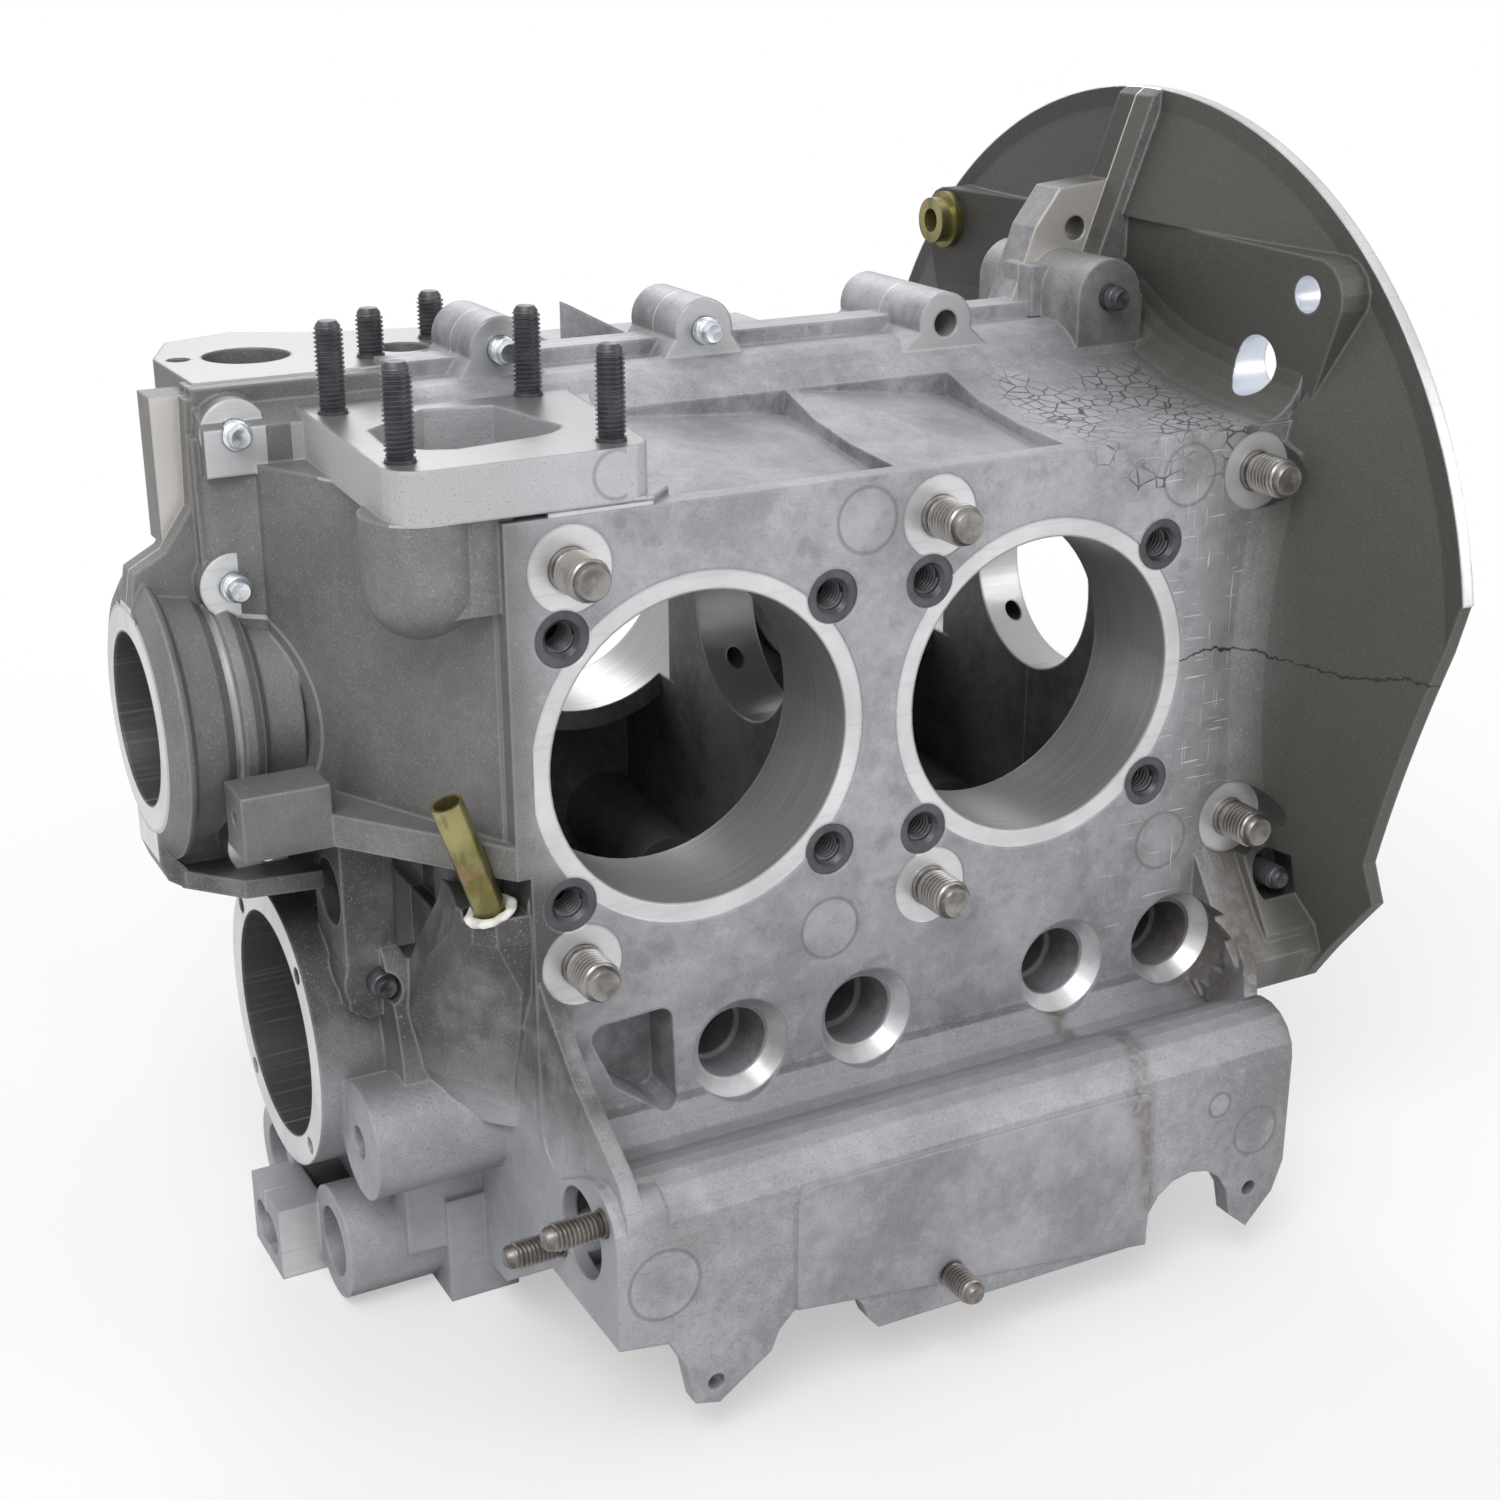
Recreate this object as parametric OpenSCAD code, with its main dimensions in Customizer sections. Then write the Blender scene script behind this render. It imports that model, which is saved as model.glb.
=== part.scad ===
// Crankcase of an air-cooled flat-four engine: two bolted castings and the pieces fitted to them.
// X runs along the crankshaft towards the flywheel, Z is up, and the two halves part at Y = 0.
// The origin is on the crankshaft axis, in the middle of the centre main bearing.

/* [Cylinders] */
// Distance between the two cylinder bores of one bank
bore_pitch = 112; // [108:0.5:118]
// Distance from a bank's middle to the centre main bearing, along X
bank_shift = 18.5; // [15:0.5:22]
// Distance from the parting plane to the cylinder deck
deck_w = 98; // [94:0.5:102]
// Diameter of a cylinder register bore
bore_d = 89.8; // [84:0.1:94]
// Width of the machined ring round a register bore
ring_width = 5.7; // [3:0.1:7]
// Depth of a register bore behind the deck
bore_depth = 36; // [28:1:40]
// Depth of the machined ring below the deck
ring_depth = 0.5; // [0.2:0.1:1]
// Height of the deck's top edge above the crankshaft
deck_top = 70; // [64:1:74]
// Half spacing of the head stud inserts along X
insert_half_x = 40.35; // [39:0.05:41.5]
// Half spacing of the head stud inserts along Z
insert_half_z = 37.56; // [36:0.02:39]
// Outer diameter of a head stud insert
insert_d = 15.6; // [14:0.1:17]
// Length of a head stud insert
insert_length = 20; // [16:1:22]

/* [Crankshaft and camshaft] */
// Spacing of the main bearing webs
main_pitch = 112; // [108:0.5:116]
// Main bearing bore diameter
main_d = 65; // [60:0.5:68]
// Front bearing bore diameter
nose_bearing_d = 50; // [46:0.5:54]
// Thickness of a bearing web
web_t = 21; // [18:0.5:24]
// Depth of the camshaft axis below the crankshaft axis
cam_drop = 104; // [102:0.5:106]
// Camshaft bearing bore diameter
cam_bearing_d = 27.5; // [25:0.5:30]
// Lifter bore diameter
lifter_d = 19; // [17:0.5:21]
// Rise of the lifter and pushrod bores from the camshaft to the deck, in degrees
lifter_rise = 5.8; // [4:0.1:7]
// Radius of the space for the camshaft gear
cam_gear_r = 53; // [50:0.5:56]
// Diameter of a pushrod tube hole in the deck
tube_hole_d = 22; // [19:0.5:24]
// Diameter of the bevelled seat round a pushrod tube hole
tube_seat_d = 31; // [27:0.5:33]
// Half spacing of the two tube holes of one pair
tube_half_pitch = 21.1; // [19:0.1:23]
// Middle of the front pair of tube holes, from the centre main bearing
tube_front_x = -42.2; // [-44:0.1:-40]
// Middle of the rear pair of tube holes, from the centre main bearing
tube_rear_x = 70.5; // [68:0.1:72]

/* [Casting] */
// Wall thickness of the castings
wall_t = 7; // [6:0.5:9]
// Height of the parting rail along the top
rail_z = 94.5; // [92:0.5:98]
// Distance from the parting plane to the outer skirt face
skirt_w = 147; // [143:1:152]
// Height of the skirt face's upper edge, below the crankshaft
skirt_top_drop = 112; // [108:1:116]
// Depth of the skirt's corner edge below the crankshaft
skirt_drop = 146; // [142:1:150]
// Depth of the sump floor below the crankshaft
floor_drop = 176; // [170:1:180]
// Depth of the feet below the crankshaft
foot_drop = 185; // [182:1:190]
// Front end of the deck, from the centre main bearing
deck_front = 130; // [127:0.5:134]
// Rear end of the crank chamber, from the centre main bearing
chamber_rear = 120; // [118:0.5:124]
// Front end wall of the lower box, from the centre main bearing
box_front = 126; // [124:0.5:129]
// Rear end wall of the lower box, from the centre main bearing
box_rear = 102; // [98:0.5:106]

// Middle of the round oil strainer, from the centre main bearing
strainer_x = -15; // [-20:0.5:-10]
// Radius of the circle of the strainer's studs
strainer_r = 48; // [46:0.5:50]
// Diameter of the strainer's studs
strainer_stud_d = 6; // [5:0.5:7]
// Outer diameter of the oil suction tube
pickup_d = 12; // [10:0.5:14]
// Diameter of the oil holes in the bearing saddles
oil_hole_d = 6; // [4:0.5:8]

/* [Flywheel housing] */
// Distance from the centre main bearing to the mating face
flange_x = 142; // [138:0.5:148]
// Outer radius of the flywheel housing
housing_r = 163.5; // [160:0.5:168]
// Drop of the housing's centre below the crankshaft axis
housing_drop = 4; // [2:0.5:6]
// Thickness of the mating flange
flange_t = 4; // [3:0.5:6]
// Upper engine mounting hole, distance from the parting plane
mount_hole_w = 97; // [92:0.5:102]
// Upper engine mounting hole, height above the crankshaft
mount_hole_z = 107; // [103:0.5:111]
// Distance from the centre main bearing to the flat face round that hole
pad_face_x = 127; // [124:0.5:130]

/* [Front end] */
// Distance from the centre main bearing to the front face of the nose
nose_x = 204; // [200:0.5:208]
// Outer radius of the nose
nose_r = 41; // [38:0.5:45]
// Distance from the centre main bearing to the oil pump face
pump_x = 172; // [168:0.5:176]
// Oil pump bore diameter
pump_d = 70; // [66:0.5:73]
// Height of the pedestal pad's top face
pad_z = 86; // [83:0.5:89]
// Thickness of the pedestal pad
pad_t = 14.5; // [11:0.5:17]
// Spacing of the pedestal studs along the engine
pad_stud_x = 56; // [54:0.5:58]
// Spacing of the pedestal studs across the engine
pad_stud_w = 63; // [61:0.5:65]
// Turn of the pedestal stud pattern about the vertical
pad_turn = 3.2; // [2:0.1:4]
// Height of the distributor pad's top face
dist_z = 93; // [90:0.5:96]
// Distributor bore diameter
dist_d = 25.4; // [23:0.1:28]

/* [Fasteners] */
// Main stud thread diameter
main_stud_d = 12; // [10:0.5:13]
// Length of a main stud proud of the deck
main_stud_proud = 15; // [10:1:22]
// Main stud height above and below the crankshaft
main_stud_z = 56; // [54:0.5:58]
// Diameter of the machined spot round a main stud
spotface_d = 24; // [20:0.5:26]
// Small stud thread diameter
stud_d = 8; // [7:0.5:9]
// Length of a pedestal stud above its pad
pedestal_stud_h = 25; // [18:1:30]
// Clearance between a stud and its hole, on the radius
hole_gap = 0.1; // [0.05:0.05:0.3]

/* [Hidden] */
$fn = 48;
big = 400;

bore_r = bore_d / 2;
ring_r = bore_r + ring_width;
sleeve_r = bore_r + wall_t;
lifter_xs = [for (mid = [tube_front_x, tube_rear_x], side = [-1, 1]) mid + side * tube_half_pitch];
main_r = main_d / 2;
chamber_front = main_pitch + web_t / 2;
gear_case_x = 152;
pickup_z = -148;
pickup_w = 15;
pickup_run = chamber_front + 3 + strainer_x;
pickup_length = norm([pickup_run, pickup_w]);
tube_z = -cam_drop + deck_w * tan(lifter_rise);
skirt_inner_w = skirt_w - wall_t + 1;

// Alloy colours of the two castings and the metals of what they carry
cast_tone = [0.60, 0.61, 0.62];
steel_tone = [0.62, 0.63, 0.66];
black_tone = [0.16, 0.16, 0.18];
zinc_tone = [0.62, 0.60, 0.34];

// Points of an arc about a centre
function arc(c, r, from, to, steps = 6) =
    [for (i = [0:steps]) let (a = from + (to - from) * i / steps) [c[0] + r * cos(a), c[1] + r * sin(a)]];

// Round bars and outlines laid along each axis; w is the distance from the parting plane
module bar_x(r, x0, x1, w, z) { translate([x0, w, z]) rotate([0, 90, 0]) cylinder(r = r, h = x1 - x0); }
module bar_w(r, w0, w1, x, z) { translate([x, w1, z]) rotate([90, 0, 0]) cylinder(r = r, h = w1 - w0); }
module bar_z(r, z0, z1, x, w) { translate([x, w, z0]) cylinder(r = r, h = z1 - z0); }
module along_x(points, x0, x1) {
    translate([x0, 0, 0]) rotate([90, 0, 90]) linear_extrude(x1 - x0) polygon(points);
}
module along_w(points, w0, w1) {
    translate([0, w1, 0]) rotate([90, 0, 0]) linear_extrude(w1 - w0) polygon(points);
}
module along_z(points, z0, z1) { translate([0, 0, z0]) linear_extrude(z1 - z0) polygon(points); }
module block(x0, x1, w0, w1, z0, z1) { translate([x0, w0, z0]) cube([x1 - x0, w1 - w0, z1 - z0]); }

// Crank chamber, shoulder and skirt in one section, as (w, z) points
roof_w = 30;
roof_z = deck_top + 10;
floor_flat_w = skirt_w - 45;
roof_line = concat(
    [[0, rail_z], [6, rail_z], [6, rail_z - 5]],
    arc([12, roof_z - 11.5], 21.5, 90, 34, 4),
    [[48, deck_top + 4.8], [68, deck_top + 1.8], [deck_w, deck_top]]);
chamber_outline = concat(
    roof_line,
    arc([deck_w + 12, -skirt_top_drop + 11], 12, 180, 270, 4),
    arc([skirt_w - 14, -skirt_top_drop - 4], 14, 118, 0, 6),
    [[skirt_w, -skirt_drop], [floor_flat_w, -skirt_drop], [66, -floor_drop + 4], [0, -floor_drop]]);
cavity_outline = concat(
    [[-1, rail_z - 17], [20, rail_z - 18], [42, deck_top - 2], [deck_w - wall_t - 1, deck_top - 6],
     [deck_w - wall_t - 1, -skirt_top_drop + 6]],
    arc([deck_w + 12 - wall_t, -skirt_top_drop + 5], 12, 200, 270, 3),
    arc([skirt_inner_w - 10, -skirt_top_drop - 8], 10, 110, 0, 4),
    [[skirt_inner_w, -skirt_drop + wall_t - 1], [floor_flat_w, -skirt_drop + wall_t - 1],
     [66, -floor_drop + 4 + wall_t], [-1, -floor_drop + wall_t]]);

// Front chest over the timing gears, as (x, w) points
chest_w = deck_w - 6;
column_x = nose_x - 22;
chest_outline = [[-deck_front + 12, 0], [-deck_front + 12, chest_w], [-deck_front - 1, chest_w],
                 [-nose_x + 36, 17], [-nose_x + 35, 13], [-nose_x + 35, 0]];
chest_cavity = [[-deck_front + 16, -1], [-deck_front + 16, chest_w - wall_t - 1],
                [-deck_front + 2, chest_w - wall_t - 1], [-nose_x + 43, 15], [-nose_x + 43, -1]];

rear_cavity = [[-1, rail_z - 17], [20, rail_z - 18], [42, deck_top - 2], [deck_w - wall_t - 1, deck_top - 6],
               [deck_w - wall_t - 1, -98], [-1, -98]];

// Where the mounting studs, bosses and holes stand
mount_hole_r = 5.5;
flat_back_x = 138;
pad_studs = [for (i = [-1, 1], j = [-1, 1])
    [-121.9 + i * pad_stud_x / 2 * cos(pad_turn) - j * pad_stud_w / 2 * sin(pad_turn),
     56.2 + i * pad_stud_x / 2 * sin(pad_turn) + j * pad_stud_w / 2 * cos(pad_turn)]];
pad_outline = concat(
    [[-154, 5], [-78, 10]],
    arc([-95.5, deck_w - 9], 9, 8, 90, 4),
    arc([-149, deck_w - 9], 9, 90, 176, 4));
pad_window = concat(
    [[-125, 30], [-106, 34]],
    arc([-113, 62], 14, 20, 80, 3),
    arc([-131, 62], 18, 100, 170, 3),
    [[-147, 48]]);
top_bosses = [[-95.5, 97.2, 15], [-31, 97.2, 15], [48, 94, 24]];
rear_boss = [107, 98, 28];
front_bosses = [[-173, 81, 13], [-176.5, 38.5, 13], [-176, -38, 16]];
pump_boss = [-152.5, -74.3, 45];
pump_stud_root = sqrt(pow(pump_d / 2, 2) - pow(cam_drop + pump_boss[1] - stud_d / 2, 2)) + 2;
rear_low_boss = [123.7, -75.2];
port_w = 124;
port_z = -122;
port_studs = [[138.5, -111], [109.5, -133.5]];
skirt_stud_x = -21.2;
skirt_stud_z = -154;
fin_w = [10, 22, 34, 46, 58];
fin_z = [foot_drop, foot_drop, foot_drop, foot_drop, floor_drop + 4];
seat_z = floor_drop + 2;
strainer_stud_proud = foot_drop - 0.4 - seat_z;
strainer_neck_r = strainer_stud_d / 2 - 0.5;
fuel_studs = [[-124, 14], [-98, 34]];

// Both halves share this outside; x_bank is the bank's own shift along X
module crank_chamber_outside() {
    along_x(concat(roof_line, [[deck_w, -skirt_top_drop + 9], [0, -skirt_top_drop + 9]]),
            -deck_front + 12, chamber_rear);
    along_x(chamber_outline, -box_front, box_rear);
    block(-deck_front, -deck_front + 14, chest_w - 3, deck_w, -20, deck_top);
    along_w([[-box_front, -20], [-box_front, -100], [-box_front + 20, -100], [-box_front + 20, -20]],
            deck_w - 20, deck_w);
    along_x([[40, -95], [deck_w, -70], [deck_w, -103], [108, -skirt_top_drop], [40, -skirt_top_drop]],
            box_rear - 4, chamber_rear);
}

module chest_outside() {
    along_z(chest_outline, -28, pad_z - pad_t + 1);
    along_x([[0, deck_top], [16, deck_top], [16, pad_z - 3], [6, rail_z - 7], [6, rail_z - 2], [0, rail_z - 2]],
            -column_x, -deck_front + 14);
    block(-160, -deck_front + 12, 0, 45, -84, -26);
    along_w([[-160, -26], [-162, -30], [-162, -82], [-156, -86], [-143, -84], [-141, -72], [-133, -64], [-133, -26]],
            20, 45);
}

// Nose round the crankshaft hub: a barrel turned about the crankshaft, its parting flange and its lip
nose_flange = [[-nose_x + 29, 90], [-nose_x + 20, 90], [-nose_x + 19, 60], [-nose_x + 11, 48.4], [-nose_x + 2, 43.4],
               [-nose_x, 32], [-nose_x, -40], [-nose_x + 2, -46], [-nose_x + 7, -49.5], [-nose_x + 46, -49.5],
               [-nose_x + 46, -20], [-nose_x + 29, 20]];
module nose() {
    rotate([0, 90, 0]) rotate_extrude()
        polygon([[0, -nose_x], [nose_r - 9, -nose_x], [nose_r - 4, -nose_x + 1.5], [nose_r, -nose_x + 4],
                 [nose_r - 0.5, -nose_x + 5.5], [nose_r - 4, -nose_x + 7.5], [nose_r - 4.5, -nose_x + 10],
                 [nose_r - 5.5, -nose_x + 16], [nose_r - 8, -nose_x + 19], [nose_r - 9, -nose_x + 20],
                 [nose_r - 7, -nose_x + 22], [nose_r - 6.5, -nose_x + 24.5], [nose_r - 8, -nose_x + 27],
                 [nose_r - 12, -nose_x + 30], [nose_r - 12, -nose_x + 40], [0, -nose_x + 40]]);
    along_w(nose_flange, 0, 6);
    along_w([for (i = [5:9]) nose_flange[i], [-nose_x + 46, -44], [-nose_x + 8, -44], [-nose_x + 5, -40]], 5, 11);
    along_z([[-nose_x + 6, 0], [-nose_x + 6, 10], [-nose_x + 20, 26], [-nose_x + 46, 30], [-nose_x + 46, 0]],
            -49.5, -44);
    block(-nose_x + 20, -nose_x + 33, 0, 10, 40, 80);
}

// Snout that carries the oil pump, turned about the camshaft axis
module pump_snout() {
    bar_x(pump_d / 2 + 9, -pump_x, -box_front + 4, 0, -cam_drop);
    bar_x(cam_gear_r + wall_t, -gear_case_x, -box_front + 4, 0, -cam_drop);
    bar_x(17.5, -pump_x + 7, -box_front + 4, 55, -118.5);
    bar_x(17.5, -pump_x + 5, -137, 28, -167);
    block(-150, -box_front + 4, 0, 48, -floor_drop + 10, -cam_drop);
    block(-pump_x - 8, -pump_x + 7, 0, 14, -foot_drop, -161);
    block(-138, -116, 0, 50, -foot_drop, -150);
}

// Flywheel housing: a cone with a flat mating flange, cut along its lower edges
module flywheel_housing() {
    difference() {
        intersection() {
            translate([0, 0, -housing_drop]) rotate([0, 90, 0]) rotate_extrude($fn = 96)
                polygon([[80, 107], [housing_r - 7, flange_x - flange_t - 0.5], [housing_r, flange_x - flange_t],
                         [housing_r, flange_x], [housing_r - 7, flange_x], [104, 123.5], [80, 123.5]]);
            along_x([[0, -housing_r - 8], [0, 172], [175, 172], [175, 26], [160, 26], [136, -62.7],
                     [138.4, -76.3], [122, -98], [112, -skirt_top_drop], [60, -skirt_top_drop]],
                    100, flange_x + 1);
        }
        along_x(concat([[-1, 60], [-1, 121], [16, 120]], arc([mount_hole_w + 3, 106], 12, 80, -10, 4),
                       [[deck_w - 1, deck_top + 1]]), 100, pad_face_x);
    }
    along_x(concat([[8, 88], [8, 119], [16, 120]], arc([mount_hole_w + 3, 106], 12, 80, -10, 4),
                   [[deck_w + 1, 66], [60, 66]]), pad_face_x, flat_back_x);
    along_x(concat(roof_line, [[deck_w, 60], [0, 60]]), chamber_rear - 1, pad_face_x + 2);
    roof_blend();
    along_w([[110, 92], [134.5, 157], [flange_x - flange_t, housing_r - housing_drop], [flange_x - flange_t, 140],
             [122, 92]], 0, 9);
    deck_blend();
    along_x([[88, -56], [deck_w, -58], [108, -74], [118, -90], [119, -100], [112, -skirt_top_drop],
             [88, -skirt_top_drop]], 114, 138);
    along_x([[88, -62], [deck_w, -66], [112, -86], [122, -96], [118, -108], [108, -skirt_top_drop - 2],
             [88, -skirt_top_drop - 2]], box_rear - 3, 128);
}

// Deep ribs, boss and ledge that stand out of the deck's front edge
module side_details() {
    ridge([[-123, deck_w - 3, -54, 12], [-122, deck_w + 5, -66, 14], [-121, 116, -81, 32], [-119.5, 140, -99.5, 14],
           [-119.5, 145, -106, 10]]);
    ridge([[103.5, deck_w - 4, -60, 12], [105.5, deck_w + 2, -67, 14], [107.5, 110, -86, 22], [102.5, 124, -94, 18],
           [96, 133, -100, 12]]);
    along_z([[-190, 36], [-190, 52], [-165, 52], [-deck_front, deck_w], [-deck_front + 10, deck_w], [-deck_front + 10, 60],
             [-150, 36]], -27.5, -18);
    block(-190, -165, 36, 52, -27.5, -9);
    loft([for (s = hump_sections) [for (p = s[1]) [p[0], deck_w - p[1], s[0]]]]);
    bar_z(15, 54, pad_z - pad_t + 1, -147, deck_w - 15);
    translate([-147, deck_w - 15, 54]) sphere(r = 15);
    block(-147, -deck_front + 4, deck_w - 24, deck_w - 3, 46, pad_z - pad_t + 1);
}

// Hump below the dipstick tube, as rings from the bottom up; each point is its x and its depth behind the deck
hump_sections = [
    [-112, [[-118, 58], [-140, 54], [-141, 42], [-138, 32], [-132, 24], [-126, 18], [-118, 16]]],
    [-97, [[-118, 58], [-146, 54], [-147, 41], [-143, 30], [-136, 22], [-128, 15], [-118, 12]]],
    [-80, [[-118, 58], [-147, 54], [-148, 41], [-143, 27], [-136, 17], [-128, 9], [-118, 7]]],
    [-62, [[-118, 58], [-143, 54], [-144, 36], [-142, 22], [-137, 11], [-129, 3], [-118, 2]]],
    [-46, [[-118, 58], [-138, 54], [-140, 32], [-142.5, 18], [-141, 7], [-136, 1], [-118, 0.5]]],
    [-38.5, [[-118, 58], [-137, 54], [-139, 28], [-142, 16], [-140.5, 7], [-136, 2], [-118, 1]]]];

// Concave blend between the deck and the cone, lofted between level sections
blend_r = 15;
blend_sink = 0.4;
cone_slope = 0.4;
function cone_x(r) = 107 + cone_slope * (r - 80);
function blend_section(z, radius = blend_r, sink = blend_sink) =
    let (r = norm([deck_w, z + housing_drop]), slope = cone_slope * deck_w / r, tilt = atan(slope),
         middle = cone_x(r) + radius * (slope * (1 - sin(tilt)) - cos(tilt)) + sink,
         curve = arc([middle, deck_w + radius - sink], radius, -90, -tilt, 5))
    concat([for (p = curve) [p[0], p[1], z]],
           [[curve[5][0] + 3, curve[5][1] + 0.5, z], [cone_x(r) + 4, deck_w - 3 - sink, z], [middle - 1, deck_w - 3 - sink, z]]);
// Concave blend between the roof and the flat wall behind it, one strip on each slope of the roof;
// each strip is given as its start (w, z), its slope and its length
roof_strips = [[0, roof_z + 9.5, 0, 12.5], [12, roof_z + 9.5, -28, 22], [29, roof_z + 0.4, -17.4, 22],
               [47, deck_top + 4.9, -8.5, 24], [66, deck_top + 1.9, -3.4, deck_w - 67]];
module roof_blend() {
    profile = concat(arc([pad_face_x - 15, blend_r - 0.5], blend_r, -90, -5, 5),
                     [[pad_face_x + 1, 13], [pad_face_x + 1, -8], [pad_face_x - 15, -8]]);
    for (s = roof_strips) translate([0, s[0], s[1]]) rotate([s[2], 0, 0]) along_w(profile, 0, s[3]);
}
module deck_blend() {
    loft(concat([for (z = [-92:12:54]) blend_section(z)], [blend_section(61), blend_section(deck_top - 2, 3, 3)]));
}

// Solid through rings of points that all have the same count
module loft(rings) {
    n = len(rings[0]);
    m = len(rings);
    polyhedron(
        points = [for (ring = rings) each ring],
        faces = concat(
            [[for (i = [n - 1:-1:0]) i]],
            [for (k = [0:m - 2], i = [0:n - 1])
                [k * n + i, k * n + (i + 1) % n, (k + 1) * n + (i + 1) % n, (k + 1) * n + i]],
            [[for (i = [0:n - 1]) (m - 1) * n + i]]));
}

// Ridge that follows a line of points, each given as x, w, z and its depth towards the casting
module ridge(stations, half = 2.5) {
    loft([for (p = stations)
        [[p[0] - half - 2.5, p[1] - p[3] * 0.7, p[2] - p[3]], [p[0] + half + 2.5, p[1] - p[3] * 0.7, p[2] - p[3]],
         [p[0] + half, p[1], p[2]], [p[0] - half, p[1], p[2]]]]);
}

// Outside bosses of the bolted joint between the halves
module joint_bosses() {
    for (b = top_bosses) {
        bar_w(9.5, 0, b[2], b[0], b[1]);
        along_w([[b[0] - 16, 86], [b[0] - 9.3, b[1] - 2], [b[0] + 9.3, b[1] - 2], [b[0] + 16, 86]], 0, b[2]);
    }
    bar_w(12, 0, rear_boss[2], rear_boss[0], rear_boss[1]);
    block(rear_boss[0] - 12, chamber_rear, 0, rear_boss[2], 78, rear_boss[1]);
    block(rear_boss[0] - 16, chamber_rear, 0, 8, 90, 106);
    for (b = front_bosses) bar_w(9.5, 0, b[2], b[0], b[1]);
    bar_w(10.5, 30, pump_boss[2], pump_boss[0], pump_boss[1]);
    bar_w(11, deck_w - 30, deck_w, rear_low_boss[0], rear_low_boss[1]);
}

// Skirt edge along the bottom, with its two tabs, as (x, z) points
tab_front_x = -97;
tab_rear_x = 89;
skirt_edge = concat(
    [[-box_front, -skirt_drop + 8], [-box_front, -skirt_drop], [-111, -148.5]],
    [[-106, -158], [-103.5, -170.5], [-96, -172.5], [-86, -165.5]],
    arc([-64, -164], 16, 170, 10, 7),
    [[-45, -165]],
    [[46, -166], [50, -160]],
    arc([65, -162], 16, 160, 20, 6),
    [[82, -166], [89, -172], [98.5, -162], [box_rear, -152], [box_rear, -skirt_drop + 8]]);

module skirt_tabs() {
    along_w(skirt_edge, skirt_w - 6, skirt_w);
    along_w(concat([[-72, -150], [49, -166]], arc([44, -118], 5, 0, 90, 3), arc([-66, -118], 6, 90, 180, 3)),
            skirt_w - 2, skirt_w + 1);
}

// Webs, saddles, sleeves and lifter bosses inside the crank chamber
module inside(x_bank) {
    for (x = [-main_pitch, 0, main_pitch]) {
        along_x([[0, rail_z - 16], [40, deck_top], [deck_w - 4, deck_top - 4], [deck_w - 4, -104],
                 [60, -124], [0, -124]], x - web_t / 2, min(x + web_t / 2, chamber_rear));
    }
    for (side = [-1, 1]) {
        x = x_bank + side * bore_pitch / 2;
        bar_w(sleeve_r, deck_w - bore_depth, deck_w - 2, x, 0);
        for (sx = [-1, 1], sz = [-1, 1])
            bar_w(insert_d / 2 + 4, deck_w - insert_length - 6, deck_w - 2,
                  x + sx * insert_half_x, sz * insert_half_z);
    }
    block(-103, -81, deck_w - 23, deck_w - 4, -112, -70);
    for (x = lifter_xs) lifter_axis(x) cylinder(r = lifter_d / 2 + 5, h = lifter_length);
    for (p = port_studs) bar_x(stud_d / 2 + 4, -chamber_front, -chamber_front + 12, p[0], p[1]);
    bar_x(main_r + 15, main_pitch - web_t / 2, chamber_rear + 5, 0, 0);
}

// Places a solid on a lifter's axis, starting near the camshaft and running out to the deck
lifter_start = 36;
lifter_length = deck_w - lifter_start - 4;
tube_hole_depth = 18;
module lifter_axis(x) {
    translate([x, lifter_start, -cam_drop + lifter_start * tan(lifter_rise)])
        rotate([lifter_rise - 90, 0, 0]) children();
}

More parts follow.
